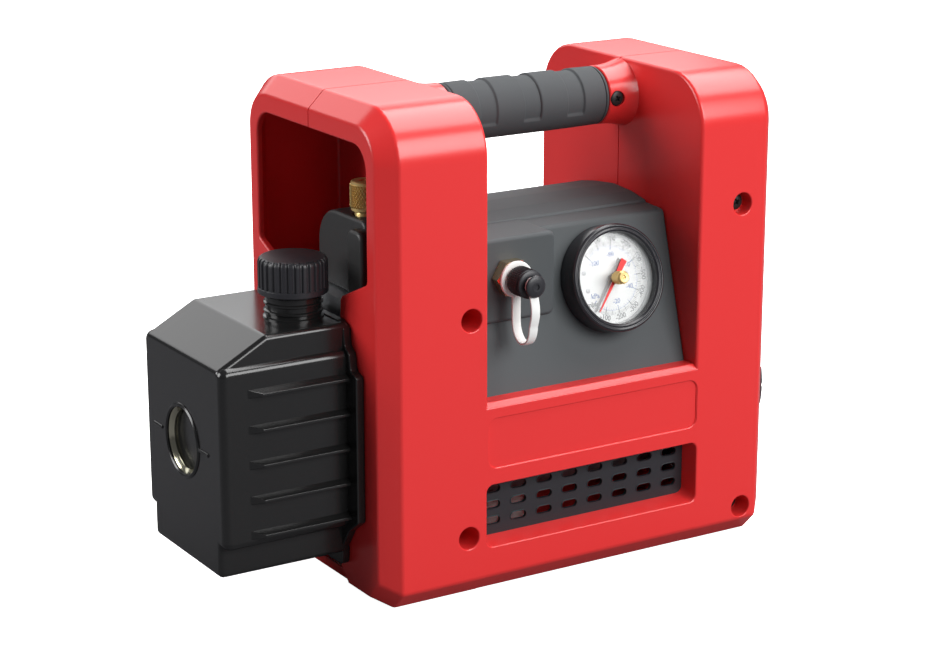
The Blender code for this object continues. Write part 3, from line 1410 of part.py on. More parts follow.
def pump(iron, steel, rubber, black):
    """The pump: body, cartridge, end plate, rotor with its vanes, shaft seal and exhaust valve."""
    place = at(0, 0, AXIS_Z, ALONG_X)
    plate_front = HOUSING_LEFT + WALL + GAP
    outline = rounded(
        both_sides(
            [
                (PLATE_HALF, PLATE_LOW, PLATE_ROUND),
                (PLATE_HALF, PLATE_SHOULDER, PLATE_ROUND),
                (PLATE_TOP_HALF, PLATE_WAIST, PLATE_TOP_ROUND),
                (PLATE_TOP_HALF, PLATE_HIGH, PLATE_TOP_ROUND),
            ]
        ),
        3,
    )
    body = add("pump_body", prism(outline, plate_front, PLATE_BACK), iron, ALONG_X)
    neck = cylinder(NECK_RADIUS, NECK_END, plate_front + OVERCUT, 20)
    lantern_end = MOTOR_LEFT - BELL_THICK - GAP
    lantern = cylinder(LANTERN_RADIUS, PLATE_BACK - OVERCUT, lantern_end, 20)
    tower = box(
        (MANIFOLD_LEFT + TOWER_SETBACK, TOWER_FRONT, TOWER_LOW),
        (MANIFOLD_RIGHT - TOWER_SETBACK, TOWER_BACK, PLATE_HIGH - OVERCUT),
    )
    join(
        body,
        add("pump_neck", neck, place=place),
        add("pump_lantern", lantern, place=place),
        add("pump_tower", tower),
    )
    floor = PLATE_BACK + LANTERN_WALL
    well = cylinder(LANTERN_RADIUS - LANTERN_WALL, floor, lantern_end + OVERCUT, 20)
    seal_well = cylinder(SEAL_RADIUS + GAP, floor - SEAL_LONG, floor + 0.001, 12)
    shaft_hole = cylinder(SHAFT_RADIUS + RUNNING, NECK_END - OVERCUT, floor + 0.001, 12)
    cut(
        body,
        add("lantern_well", well, place=place),
        add("seal_well", seal_well, place=place),
        add("pump_shaft_hole", shaft_hole, place=place),
    )
    seal_left = floor - SEAL_LONG + GAP
    ring = [
        (SEAL_RADIUS, floor),
        (SEAL_RADIUS, seal_left),
        (SHAFT_RADIUS + RUNNING, seal_left),
        (SHAFT_RADIUS + RUNNING, floor),
    ]
    add("shaft_seal", turned(ring, 12, True), rubber, place)
    for name, y, z in tank_bolt_places():
        stud = cylinder(TANK_BOLT, TANK_BACK - FLANGE_THICK + 2 * OVERCUT, plate_front + OVERCUT, 10)
        head = prism(hexagon(4 * TANK_BOLT), PLATE_BACK - OVERCUT, PLATE_BACK + 1.8 * TANK_BOLT)
        join(
            body,
            add(f"tank_stud_{name}", stud, place=at(0, y, z, ALONG_X)),
            add(f"tank_bolt_head_{name}", head, place=at(0, y, z, ALONG_X)),
        )
    cartridge_right = NECK_END - GAP
    cartridge_left = cartridge_right - CARTRIDGE_LONG
    offset = PUMP_BORE - ROTOR_RADIUS - RUNNING
    block = cylinder(CARTRIDGE_RADIUS, cartridge_left, cartridge_right, 16)
    cartridge = add("pump_cartridge", block, iron, place)
    bore_end = cartridge_right - CARTRIDGE_FLOOR
    bore = cylinder(PUMP_BORE, cartridge_left - OVERCUT, bore_end, 24)
    back_hole = cylinder(SHAFT_RADIUS + RUNNING, bore_end - 0.001, cartridge_right + OVERCUT, 12)
    vent_x = cartridge_left + CARTRIDGE_LONG / 2
    valve = cylinder(VALVE_RADIUS, CARTRIDGE_RADIUS - OVERCUT, CARTRIDGE_RADIUS + VALVE_HIGH, 12)
    vent_up = cylinder(EXHAUST_BORE, 0, CARTRIDGE_RADIUS + VALVE_HIGH + OVERCUT, 10)
    join(cartridge, add("exhaust_valve", valve, place=at(vent_x, 0, AXIS_Z)))
    cut(
        cartridge,
        add("pump_bore", bore, place=at(0, 0, AXIS_Z - offset, ALONG_X)),
        add("cartridge_shaft_hole", back_hole, place=place),
        add("exhaust_port", vent_up, place=at(vent_x, 0, AXIS_Z)),
    )
    plate_right = cartridge_left - GAP
    end_plate = turned(
        [
            (CARTRIDGE_RADIUS, plate_right),
            (CARTRIDGE_RADIUS, plate_right - END_PLATE_THICK),
            (SHAFT_RADIUS + RUNNING, plate_right - END_PLATE_THICK),
            (SHAFT_RADIUS + RUNNING, plate_right),
        ],
        16,
        True,
    )
    add("pump_end_plate", end_plate, iron, place)
    rotor_left = cartridge_left + RUNNING
    rotor_right = bore_end - RUNNING
    stub = COUPLING_MID - GAP
    rotor_profile = [
        (0, stub),
        (SHAFT_RADIUS, stub),
        (SHAFT_RADIUS, rotor_right),
        (ROTOR_RADIUS, rotor_right),
        (ROTOR_RADIUS, rotor_left),
        (SHAFT_RADIUS, rotor_left),
        (SHAFT_RADIUS, plate_right - END_PLATE_THICK + GAP),
        (0, plate_right - END_PLATE_THICK + GAP),
    ]
    rotor = add("pump_rotor", turned(rotor_profile, 16), steel, place)
    slot_half = VANE_THICK / 2 + GAP
    for word, side in (("upper", 1), ("lower", -1)):
        heights = sorted((side * (ROTOR_RADIUS + OVERCUT), side * (ROTOR_RADIUS - VANE_DEEP)))
        slot = box(
            (rotor_left - OVERCUT, -slot_half, heights[0]),
            (rotor_right + OVERCUT, slot_half, heights[1]),
        )
        cut(rotor, add(f"{word}_vane_slot", slot, place=at(0, 0, AXIS_Z)))
        span = sorted((side * (ROTOR_RADIUS - GAP), side * (ROTOR_RADIUS - VANE_DEEP + GAP)))
        vane = box((rotor_left, -VANE_THICK / 2, span[0]), (rotor_right, VANE_THICK / 2, span[1]))
        add(f"{word}_vane", vane, black, at(0, 0, AXIS_Z))


def motor(grey, aluminium, steel, copper, black, iron):
    """The motor: housing, end bells, bearings, stator, windings, shaft, rotor core and coupling."""
    place = at(0, 0, AXIS_Z, ALONG_X)
    inner = MOTOR_RADIUS - MOTOR_WALL
    tube = [
        (MOTOR_RADIUS, MOTOR_RIGHT),
        (MOTOR_RADIUS, MOTOR_LEFT),
        (inner, MOTOR_LEFT),
        (inner, MOTOR_RIGHT),
    ]
    housing = add("motor_housing", turned(tube, 20, True), grey, place)
    pad_half = CAPACITOR_RADIUS * 0.7
    pad = box(
        (CAPACITOR_LEFT + 0.008, CAPACITOR_Y - pad_half, AXIS_Z + 0.030),
        (CAPACITOR_LEFT + CAPACITOR_LONG - 0.008, CAPACITOR_Y + pad_half, CAPACITOR_Z - 0.004),
    )
    pad_object = add("capacitor_pad", pad)
    groove = cylinder(CAPACITOR_RADIUS + GAP, CAPACITOR_LEFT, CAPACITOR_LEFT + CAPACITOR_LONG, 24)
    clear = cylinder(inner + 0.001, MOTOR_LEFT, MOTOR_RIGHT, 32)
    cut(
        pad_object,
        add("capacitor_groove", groove, place=at(0, CAPACITOR_Y, CAPACITOR_Z, ALONG_X)),
        add("pad_clearance", clear, place=place),
    )
    join(housing, pad_object)
    can = [
        (0, CAPACITOR_LEFT + CAPACITOR_LONG),
        (CAPACITOR_RADIUS - 0.001, CAPACITOR_LEFT + CAPACITOR_LONG),
        (CAPACITOR_RADIUS, CAPACITOR_LEFT + CAPACITOR_LONG - 0.001),
        (CAPACITOR_RADIUS, CAPACITOR_LEFT),
        (0, CAPACITOR_LEFT),
    ]
    add("capacitor", turned(can, 12), aluminium, at(0, CAPACITOR_Y, CAPACITOR_Z, ALONG_X))
    bearing_seats = (
        ("front", MOTOR_LEFT - GAP, -1),
        ("rear", MOTOR_RIGHT + GAP, 1),
    )
    for word, face, way in bearing_seats:
        outer = face + way * BELL_THICK
        hub_end = face - way * (BEARING_WIDE + GAP)
        seat = BEARING_RADIUS + GAP
        bell = [
            (MOTOR_RADIUS, outer),
            (MOTOR_RADIUS, face),
            (BELL_HUB, face),
            (BELL_HUB, hub_end),
            (seat, hub_end),
            (seat, face + way * 0.001),
            (SHAFT_RADIUS + 0.002, face + way * 0.001),
            (SHAFT_RADIUS + 0.002, outer),
        ]
        add(f"{word}_end_bell", turned(bell, 16, True), aluminium, place)
        near = face + way * 0.001 - way * GAP
        far = near - way * BEARING_WIDE
        seat = SHAFT_RADIUS + RUNNING
        race = [(BEARING_RADIUS, near), (BEARING_RADIUS, far), (seat, far), (seat, near)]
        add(f"{word}_bearing", turned(race, 12, True), steel, place)
    stack = inner - GAP
    core = [(stack, STACK_RIGHT), (stack, STACK_LEFT), (STACK_BORE, STACK_LEFT), (STACK_BORE, STACK_RIGHT)]
    add("stator_core", turned(core, 20, True), iron, place)
    for word, low in (("front", STACK_LEFT - GAP - WINDING_LONG), ("rear", STACK_RIGHT + GAP)):
        high = low + WINDING_LONG
        soft = 0.003
        coil = [
            (WINDING_OUT - soft, high),
            (WINDING_OUT, high - soft),
            (WINDING_OUT, low + soft),
            (WINDING_OUT - soft, low),
            (WINDING_IN + soft, low),
            (WINDING_IN, low + soft),
            (WINDING_IN, high - soft),
            (WINDING_IN + soft, high),
        ]
        add(f"{word}_winding", turned(coil, 16, True), copper, place)
    core_bore = SHAFT_RADIUS + GAP
    cage = [
        (ROTOR_CORE, STACK_RIGHT),
        (ROTOR_CORE, STACK_LEFT),
        (core_bore, STACK_LEFT),
        (core_bore, STACK_RIGHT),
    ]
    add("rotor_core", turned(cage, 16, True), iron, place)
    shaft_right = FAN_LEFT + FAN_WIDE - 0.002
    shaft = [
        (0, shaft_right),
        (SHAFT_RADIUS - 0.0008, shaft_right),
        (SHAFT_RADIUS, shaft_right - 0.0008),
        (SHAFT_RADIUS, COUPLING_MID + GAP),
        (0, COUPLING_MID + GAP),
    ]
    add("motor_shaft", turned(shaft, 12), steel, place)
    hub = [
        (COUPLING_RADIUS, COUPLING_MID + COUPLING_LONG / 2),
        (COUPLING_RADIUS, COUPLING_MID - COUPLING_LONG / 2),
        (core_bore, COUPLING_MID - COUPLING_LONG / 2),
        (core_bore, COUPLING_MID + COUPLING_LONG / 2),
    ]
    add("shaft_coupling", turned(hub, 12, True), aluminium, place)
    fan_and_cover(black, place, core_bore)


def fan_and_cover(black, place, core_bore):
    """The cooling fan on the shaft and the slotted cover over it."""
    hub = [
        (FAN_HUB, FAN_LEFT + FAN_WIDE),
        (FAN_HUB, FAN_LEFT + FAN_DISC),
        (FAN_RADIUS, FAN_LEFT + FAN_DISC),
        (FAN_RADIUS, FAN_LEFT),
        (core_bore, FAN_LEFT),
        (core_bore, FAN_LEFT + FAN_WIDE),
    ]
    fan = add("cooling_fan", turned(hub, 16, True), black, place)
    for number in range(FAN_BLADES):
        blade = box(
            (FAN_HUB - BLADE_ROOT, -BLADE_THICK / 2, FAN_LEFT + OVERCUT),
            (FAN_RADIUS - BLADE_ROOT, BLADE_THICK / 2, FAN_LEFT + FAN_WIDE),
        )
        spin = Matrix.Rotation(2 * math.pi * number / FAN_BLADES, 4, "Z")
        join(fan, add(f"fan_blade_{number + 1}", blade, place=place @ spin))
    radius = FAN_COVER_RADIUS
    wall = FAN_COVER_WALL
    rim = FAN_COVER_END - FAN_COVER_DOME
    outer = [(radius, FAN_COVER_LEFT), (radius, rim)]
    for step in range(1, 5):
        angle = math.radians(90 * step / 4)
        outer.append(
            (
                FAN_COVER_FLAT + (radius - FAN_COVER_FLAT) * math.cos(angle),
                rim + (FAN_COVER_END - rim) * math.sin(angle),
            )
        )
    outer.append((0, FAN_COVER_END))
    inner = [(0, FAN_COVER_END - wall)]
    for radius_out, x in reversed(outer[1:-1]):
        share = (radius_out - FAN_COVER_FLAT) / (radius - FAN_COVER_FLAT)
        inner.append((radius_out - wall * share, x - wall * (1 - share)))
    inner.append((radius - wall, FAN_COVER_LEFT))
    cover = add("fan_cover", turned(outer + inner, 20, True), black, place)
    slots = []
    for number in range(FAN_SLOTS):
        spin = Matrix.Rotation(2 * math.pi * number / FAN_SLOTS, 4, "Z")
        low = (FAN_SLOT_IN, -FAN_SLOT_WIDE / 2, FAN_COVER_END - 0.010)
        high = (FAN_SLOT_OUT, FAN_SLOT_WIDE / 2, FAN_COVER_END + OVERCUT)
        slots.append((box(low, high), place @ spin))
    cut(cover, add("fan_cover_slots", gathered(slots)))


def grilles(dark):
    """The slotted plates behind the ventilation windows."""
    back_taper = WINDOW_TAPER * GRILLE_SETBACK / WINDOW_DEPTH
    margin = back_taper + 0.0006
    left = SADDLE_LEFT + margin
    right = SADDLE_RIGHT + 0.0008 - margin
    low = WINDOW_LOW + margin
    high = WINDOW_HIGH - margin
    middle_x = (left + right) / 2
    for name, turn in (("front_grille", TO_FRONT), ("rear_grille", TO_BACK)):
        outline = [(left, low), (right, low), (right, high), (left, high)]
        if turn is TO_BACK:
            outline = [(-x, z) for x, z in outline]
        near = HALF_DEPTH - GRILLE_SETBACK
        plate = add(name, prism(outline, near - GRILLE_THICK, near), dark, turn)
        slots = []
        for column in range(SLOT_COLUMNS):
            x = middle_x + (column - (SLOT_COLUMNS - 1) / 2) * SLOT_PITCH_X
            for row in range(SLOT_ROWS):
                z = SLOT_LOW_Z + row * SLOT_PITCH_Z
                shape = rounded_box(SLOT_LENGTH / 2, SLOT_WIDTH / 2, 0.49 * SLOT_WIDTH, 1)
                cutter = prism(shape, near - GRILLE_THICK - OVERCUT, near + OVERCUT)
                slots.append((cutter, at(x, 0, z, turn)))
        cut(plate, add(f"{name}_slots", gathered(slots)))


def switch_and_inlet(black):
    """The mains inlet and the rocker switch on the back of the cover."""
    place = back_place(SWITCH_X, REAR_DROP)
    outline = rounded_box(SWITCH_WIDE / 2 + REAR_LIP, SWITCH_TALL / 2 + REAR_LIP, SWITCH_ROUND)
    lip = prism(outline, GAP, REAR_RIM)
    frame = add("switch_frame", lip, black, place)
    outline = rounded_box(SWITCH_WIDE / 2 - GAP, SWITCH_TALL / 2 - GAP, SWITCH_ROUND / 2)
    body = prism(outline, -SWITCH_DEPTH, OVERCUT)
    join(frame, add("switch_body", body, place=place))
    well_wide = SWITCH_WIDE / 2 - SWITCH_WALL
    well_tall = SWITCH_TALL / 2 - SWITCH_WALL
    well_low = SWITCH_FLOOR - SWITCH_DEPTH
    well = box((-well_wide, -well_tall, well_low), (well_wide, well_tall, REAR_RIM + OVERCUT))
    cut(frame, add("switch_well", well, place=place))
    reach = well_tall - ROCKER_END_PLAY
    lift = math.tan(math.radians(ROCKER_TILT)) * reach
    side = [(-reach, REAR_RIM + lift), (0, REAR_RIM), (reach, REAR_RIM + ROCKER_DIP)]
    side += [(-reach / 2, -ROCKER_DEEP), (reach / 2, -ROCKER_DEEP)]
    half = well_wide - ROCKER_SIDE_PLAY
    rocker = hull([(x, y, z) for x in (-half, half) for y, z in side])
    add("switch_rocker", rocker, black, place)
    place = back_place(INLET_X, REAR_DROP)
    outline = rounded_box(INLET_WIDE / 2 + REAR_LIP, INLET_TALL / 2 + REAR_LIP, INLET_ROUND)
    lip = prism(outline, GAP, REAR_RIM)
    inlet = add("mains_inlet", lip, black, place)
    body_round = INLET_ROUND - 0.001
    outline = rounded_box(INLET_WIDE / 2 - GAP, INLET_TALL / 2 - GAP, body_round)
    body = prism(outline, -INLET_DEPTH, OVERCUT)
    join(inlet, add("inlet_body", body, place=place))
    outline = rounded_box(SOCKET_WIDE / 2, SOCKET_TALL / 2, body_round)
    socket = prism(outline, -SOCKET_DEPTH, REAR_RIM + OVERCUT)
    socket_cutter = add("inlet_socket", socket, place=place)
    for number, (x, y) in enumerate(PIN_PLACES, 1):
        blade = box(
            (x - PIN_THICK / 2, y - PIN_TALL / 2, -SOCKET_DEPTH - 0.001),
            (x + PIN_THICK / 2, y + PIN_TALL / 2, -PIN_SETBACK),
        )
        cut(socket_cutter, add(f"inlet_pin_{number}", blade, place=place))
    cut(inlet, socket_cutter)


def main():
    red = surface("red moulding", RED, 0.4)
    charcoal = surface("charcoal moulding", CHARCOAL, 0.5)
    black = surface("black moulding", BLACK, 0.4)
    rubber = surface("black rubber", CHARCOAL, 0.8)
    milky = surface("milky strap", WHITE, 0.4)
    steel = surface("bright steel", STEEL, 0.3, 1.0)
    brass = surface("brass", BRASS, 0.3, 1.0)
    aluminium = surface("cast aluminium", ALUMINIUM, 0.5, 1.0)
    iron = surface("black cast iron", IRON, 0.6, 0.5)
    copper = surface("copper winding", COPPER, 0.4, 1.0)
    white = surface("dial white", WHITE, 0.6)
    glass = surface("clear glass", WHITE, 0.05)
    shells(red)
    housing_screws(black)
    handle(rubber, steel, black)
    control_cover(charcoal)
    gauge(steel, black, white, glass, red, brass)
    intake(brass, black, milky, rubber)
    suction_line(iron, brass, rubber)
    oil_tank(black, steel, glass, rubber)
    pump(aluminium, steel, rubber, black)
    motor(aluminium, aluminium, steel, copper, black, iron)
    grilles(black)
    switch_and_inlet(black)


main()
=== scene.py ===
"""A portable rotary vane vacuum pump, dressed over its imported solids. Metres, +Z up.

Each operator makes one piece or one group of like pieces, in the place that the solids give it."""

import json
import math

import bmesh
import bpy
from bpy.props import FloatProperty, FloatVectorProperty, IntProperty, PointerProperty
from mathutils import Matrix, Vector


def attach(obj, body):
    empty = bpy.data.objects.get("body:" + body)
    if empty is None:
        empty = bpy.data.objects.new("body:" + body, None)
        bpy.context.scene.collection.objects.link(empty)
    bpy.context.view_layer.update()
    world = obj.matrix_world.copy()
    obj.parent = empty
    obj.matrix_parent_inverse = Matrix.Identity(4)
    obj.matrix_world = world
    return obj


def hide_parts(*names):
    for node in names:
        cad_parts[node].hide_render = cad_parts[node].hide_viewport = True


bl_info = {
    "name": "Vacuum Pump",
    "version": (1, 0, 0),
    "blender": (4, 5, 0),
    "location": "3D View > Sidebar > Pump",
    "description": "Dresses a portable rotary vane vacuum pump",
    "category": "Object",
}

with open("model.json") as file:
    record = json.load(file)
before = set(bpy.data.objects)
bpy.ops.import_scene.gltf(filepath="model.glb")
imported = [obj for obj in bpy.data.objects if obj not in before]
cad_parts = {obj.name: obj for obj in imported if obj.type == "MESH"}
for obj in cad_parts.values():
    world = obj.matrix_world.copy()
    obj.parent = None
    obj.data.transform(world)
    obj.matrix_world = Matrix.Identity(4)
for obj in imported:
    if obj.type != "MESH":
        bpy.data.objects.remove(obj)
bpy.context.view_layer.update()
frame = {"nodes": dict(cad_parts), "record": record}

ALONG_X = Matrix(((0, 0, 1, 0), (1, 0, 0, 0), (0, 1, 0, 0), (0, 0, 0, 1)))
TO_FRONT = Matrix(((1, 0, 0, 0), (0, 0, -1, 0), (0, 1, 0, 0), (0, 0, 0, 1)))
TO_LEFT = Matrix(((0, 0, -1, 0), (-1, 0, 0, 0), (0, 1, 0, 0), (0, 0, 0, 1)))
TO_BACK = Matrix(((-1, 0, 0, 0), (0, 0, 1, 0), (0, 1, 0, 0), (0, 0, 0, 1)))

LEFT = -0.1162
RIGHT = 0.1162
HALF_DEPTH = 0.0732
HEIGHT = 0.250
WALL = 0.003
SADDLE_LEFT = -0.058
SADDLE_RIGHT = 0.069
SADDLE_FLOOR = 0.100
AXIS_Z = 0.070
HANDLE_Z = 0.2313
SCREWS = ((-0.0675, 0.144, 0.030), (-0.069, 0.032, 0.030), (0.096, 0.182, 0.0076), (0.1005, 0.0163, 0.0111))
BOSS_SCREWS = (-0.0462, 0.0572)
BOSS_FACES = (-0.0418, 0.0528)
BOSS_RADIUS = 0.0154
BOSS_FLARE = 0.0031
BOSS_EDGE = 0.0006
BOSS_SEAT = 0.0138
POST_FLOOR = 0.003
WINDOW = (-0.0586, 0.0704, 0.0248, 0.0575)
GRILLE_SETBACK = 0.0108
SLOT_PITCH = (0.01557, 0.0084)
GRIP_RADIUS = 0.01515
GRIP_ENDS = (-0.0415, 0.0525)
TANK_END = -0.1885
TANK_ROOT = -0.1168
CAP_LOW = 0.1548
CAP_HIGH = 0.1727
REAR_DROP = 0.034
SWITCH_X = -0.032
INLET_X = 0.030
COVER_FOOT = 0.063
COVER_EDGE = (-0.0421, 0.1767)
COVER_BACK = (0.041, 0.174)
GAUGE = (0.027, 0.031)
INTAKE = (-0.0355, 0.1582)
PORT_FACE = 0.0555
HOOPS = ((LEFT, SADDLE_LEFT, 0.0091, 0.005), (RIGHT, SADDLE_RIGHT, 0.006, 0.007))
SIGHT = (0.00075, 0.0835)
FILLER = (-0.1336, -0.014)
BALLAST = (-0.095, -0.018)


class PumpFinish(bpy.types.PropertyGroup):
    """Colours and textures of the pump's materials."""

    housing: FloatVectorProperty(
        name="Housing", description="Moulded shells", subtype="COLOR", size=3, default=(0.66, 0.030, 0.036)
    )
    cover: FloatVectorProperty(
        name="Cover", description="Control cover", subtype="COLOR", size=3, default=(0.040, 0.044, 0.055)
    )
    tank: FloatVectorProperty(
        name="Tank", description="Oil tank", subtype="COLOR", size=3, default=(0.0050, 0.0046, 0.0052)
    )
    grip: FloatVectorProperty(
        name="Grip", description="Handle grip", subtype="COLOR", size=3, default=(0.040, 0.045, 0.052)
    )
    brass: FloatVectorProperty(
        name="Brass",
        description="Set knob and gas ballast",
        subtype="COLOR",
        size=3,
        default=(0.62, 0.40, 0.14),
    )


class PumpSizes(bpy.types.PropertyGroup):
    """Sizes and counts of what the solids leave plain."""

    edge_round: FloatProperty(
        name="Edge round", description="Fillet on the moulded edges", subtype="DISTANCE", default=0.0018
    )
    seam_width: FloatProperty(
        name="Seam width", description="Groove between the shells", subtype="DISTANCE", default=0.0007
    )
    cap_flutes: IntProperty(name="Cap flutes", description="Flutes round the oil cap", default=30)
    knurl_ridges: IntProperty(name="Knurl ridges", description="Ridges each way on the knob", default=30)
    cap_ridges: IntProperty(name="Cap ridges", description="Ridges round the intake cap", default=44)
    fan_slots: IntProperty(name="Fan slots", description="Slots in the fan cover", default=24)


class StudioSettings(bpy.types.PropertyGroup):
    """The camera and the lamps."""

    place: FloatVectorProperty(
        name="Camera",
        description="Camera position",
        subtype="TRANSLATION",
        default=(-0.66475, -1.03884, 0.46694),
    )
    heading: FloatProperty(
        name="Heading", description="Turn to the right", subtype="ANGLE", default=math.radians(31.81)
    )
    lean: FloatProperty(name="Lean", description="Look down", subtype="ANGLE", default=math.radians(15.97))
    lens: FloatProperty(name="Lens", description="Focal length in millimetres", default=92.5)


def mesh_of(bm):
    """A mesh from a bmesh, welded, its faces pointing outwards."""
    bmesh.ops.remove_doubles(bm, verts=bm.verts, dist=1e-7)
    bmesh.ops.recalc_face_normals(bm, faces=bm.faces)
    if bm.calc_volume(signed=True) < 0:
        bmesh.ops.reverse_faces(bm, faces=bm.faces)
    mesh = bpy.data.meshes.new("shape")
    bm.to_mesh(mesh)
    bm.free()
    return mesh


def placed(mesh, place):
    """The same mesh, moved to its place."""
    mesh.transform(place)
    return mesh


def linked(mesh, name="helper"):
    """A new object of a mesh, in the scene."""
    obj = bpy.data.objects.new(name, mesh)
    bpy.context.scene.collection.objects.link(obj)
    return obj


def evaluated(obj):
    """The plain mesh of an object with its modifiers, after which the object is removed."""
    graph = bpy.context.evaluated_depsgraph_get()
    mesh = bpy.data.meshes.new_from_object(obj.evaluated_get(graph))
    bpy.data.objects.remove(obj)
    return mesh


def carve(mesh, *steps):
    """A mesh after Booleans, each step an operation and its helper meshes."""
    body = linked(mesh)
    helpers = []
    for operation, shapes in steps:
        for shape in shapes:
            helper = linked(shape)
            modifier = body.modifiers.new(operation, "BOOLEAN")
            modifier.operation = operation
            modifier.solver = "MANIFOLD"
            modifier.object = helper
            helpers.append(helper)
    result = evaluated(body)
    for helper in helpers:
        bpy.data.objects.remove(helper)
    return result


def softened(mesh, width, segments=3, angle=30):
    """A mesh with a bevel on its sharp edges."""
    obj = linked(mesh)
    bevel = obj.modifiers.new("Soft edges", "BEVEL")
    bevel.width = width
    bevel.segments = segments
    bevel.angle_limit = math.radians(angle)
    return evaluated(obj)


def merged(*meshes):
    """One mesh of several that aren't joined."""
    bm = bmesh.new()
    for mesh in meshes:
        bm.from_mesh(mesh)
    mesh = bpy.data.meshes.new("shape")
    bm.to_mesh(mesh)
    bm.free()
    return mesh


def rounded(corners, steps=6):
    """A closed outline in which each corner (x, y, radius) is an arc."""
    points = []
    count = len(corners)
    for index, (x, y, radius) in enumerate(corners):
        corner = Vector((x, y))
        if radius <= 0:
            points.append(tuple(corner))
            continue
        before = (Vector(corners[index - 1][:2]) - corner).normalized()
        after = (Vector(corners[(index + 1) % count][:2]) - corner).normalized()
        half = before.angle(after) / 2
        centre = corner + (before + after).normalized() * radius / math.sin(half)
        start = corner + before * radius / math.tan(half) - centre
        end = corner + after * radius / math.tan(half) - centre
        sweep = start.angle(end)
        for step in range(steps + 1):
            part = step / steps
            arm = start * math.sin((1 - part) * sweep) + end * math.sin(part * sweep)
            points.append(tuple(centre + arm / math.sin(sweep)))
    return points


def both_sides(half):
    """A closed outline from its half, mirrored in the first coordinate."""
    return half + [(-x, y, radius) for x, y, radius in reversed(half)]


def block_outline(left, right, low, high, radius, steps=6):
    """A rounded rectangle."""
    corners = [(left, low, radius), (right, low, radius), (right, high, radius), (left, high, radius)]
    return rounded(corners, steps)


def outset(outline, distance):
    """A dense outline moved outwards along its normals."""
    count = len(outline)
    area = sum(outline[i - 1][0] * outline[i][1] - outline[i][0] * outline[i - 1][1] for i in range(count))
    way = 1 if area > 0 else -1
    moved = []
    for index in range(count):
        along = Vector(outline[(index + 1) % count]) - Vector(outline[index - 1])
        normal = Vector((along.y, -along.x)).normalized() * way * distance
        moved.append((outline[index][0] + normal.x, outline[index][1] + normal.y))
    return moved


def loft(sections):
    """A closed solid through rings of equally many points."""
    bm = bmesh.new()
    rings = [[bm.verts.new(point) for point in section] for section in sections]
    bm.faces.new(rings[0])
    bm.faces.new(rings[-1])
    count = len(rings[0])
    for lower, upper in zip(rings, rings[1:]):
        for index in range(count):
            after = (index + 1) % count
            bm.faces.new((lower[index], lower[after], upper[after], upper[index]))
    return mesh_of(bm)


def prism(outline, low, high):
    """An outline extruded along local Z."""
    return loft([[(x, y, z) for x, y in outline] for z in (low, high)])


def pillow(outline, low, high, edge, steps=4, both=False):
    """An outline extruded along local Z, its far edge rounded, and its near edge too where both is set."""
    levels = [(low, 0.0)]
    if both:
        levels = [(low + edge * (1 - math.cos(a)), edge * (1 - math.sin(a))) for a in quarter(steps)]
    levels += [(high - edge * (1 - math.sin(a)), edge * (1 - math.cos(a))) for a in quarter(steps)]
    return loft([[(x, y, z) for x, y in outset(outline, -inset)] for z, inset in levels])


def mouth_cutter(outline, inner, face, edge, steps=4):
    """A cutter along local Z whose mouth, at the face, is flared to a rounded edge."""
    levels = [(inner, 0.0)]
    levels += [(face - edge * (1 - math.sin(a)), edge * (1 - math.cos(a))) for a in quarter(steps)]
    levels.append((face + 0.002, edge))
    return loft([[(x, y, z) for x, y in outset(outline, grow)] for z, grow in levels])


def quarter(steps):
    """Angles from nought to a right angle, both ends included."""
    return [math.pi / 2 * step / steps for step in range(steps + 1)]


def circle(radius, steps=64):
    """Points round a circle, the first of them on the first axis."""
    turns = [2 * math.pi * step / steps for step in range(steps)]
    return [(radius * math.cos(turn), radius * math.sin(turn)) for turn in turns]


def lathe(profile, steps=72, ring=False):
    """A profile of (radius, height) points turned about local Z, a closed loop where ring is set."""
    bm = bmesh.new()
    rounds = []
    for radius, height in profile:
        if radius < 1e-6:
            rounds.append([bm.verts.new((0, 0, height))])
        else:
            rounds.append([bm.verts.new((x, y, height)) for x, y in circle(radius, steps)])
    pairs = list(zip(rounds, rounds[1:]))
    if ring:
        pairs.append((rounds[-1], rounds[0]))
    for lower, upper in pairs:
        for index in range(steps):
            after = (index + 1) % steps
            corners = [
                lower[index % len(lower)],
                lower[after % len(lower)],
                upper[after % len(upper)],
                upper[index % len(upper)],
            ]
            corners = list(dict.fromkeys(corners))
            if len(corners) > 2:
                bm.faces.new(corners)
    return mesh_of(bm)


def wrapped(rows, steps, radius_at):
    """A tube about local Z, closed at both ends, whose radius is read for each angle and height."""
    sections = []
    for height in rows:
        section = []
        for step in range(steps):
            turn = 2 * math.pi * step / steps
            radius = radius_at(turn, height)
            section.append((radius * math.cos(turn), radius * math.sin(turn), height))
        sections.append(section)
    return loft(sections)


def box(low, high):
    """A block between two opposite corners."""
    bm = bmesh.new()
    bmesh.ops.create_cube(bm, size=1)
    size = Vector(high) - Vector(low)
    middle = (Vector(high) + Vector(low)) / 2
    bmesh.ops.transform(bm, matrix=Matrix.Translation(middle) @ Matrix.Diagonal((*size, 1)), verts=bm.verts)
    return mesh_of(bm)


def hull(points):
    """The convex solid round a few points."""
    bm = bmesh.new()
    for point in points:
        bm.verts.new(point)
    bmesh.ops.convex_hull(bm, input=bm.verts)
    return mesh_of(bm)


def smoothstep(low, high, value):
    """A smooth rise from 0 to 1 as a value goes from low to high."""
    part = min(max((value - low) / (high - low), 0), 1)
    return part * part * (3 - 2 * part)


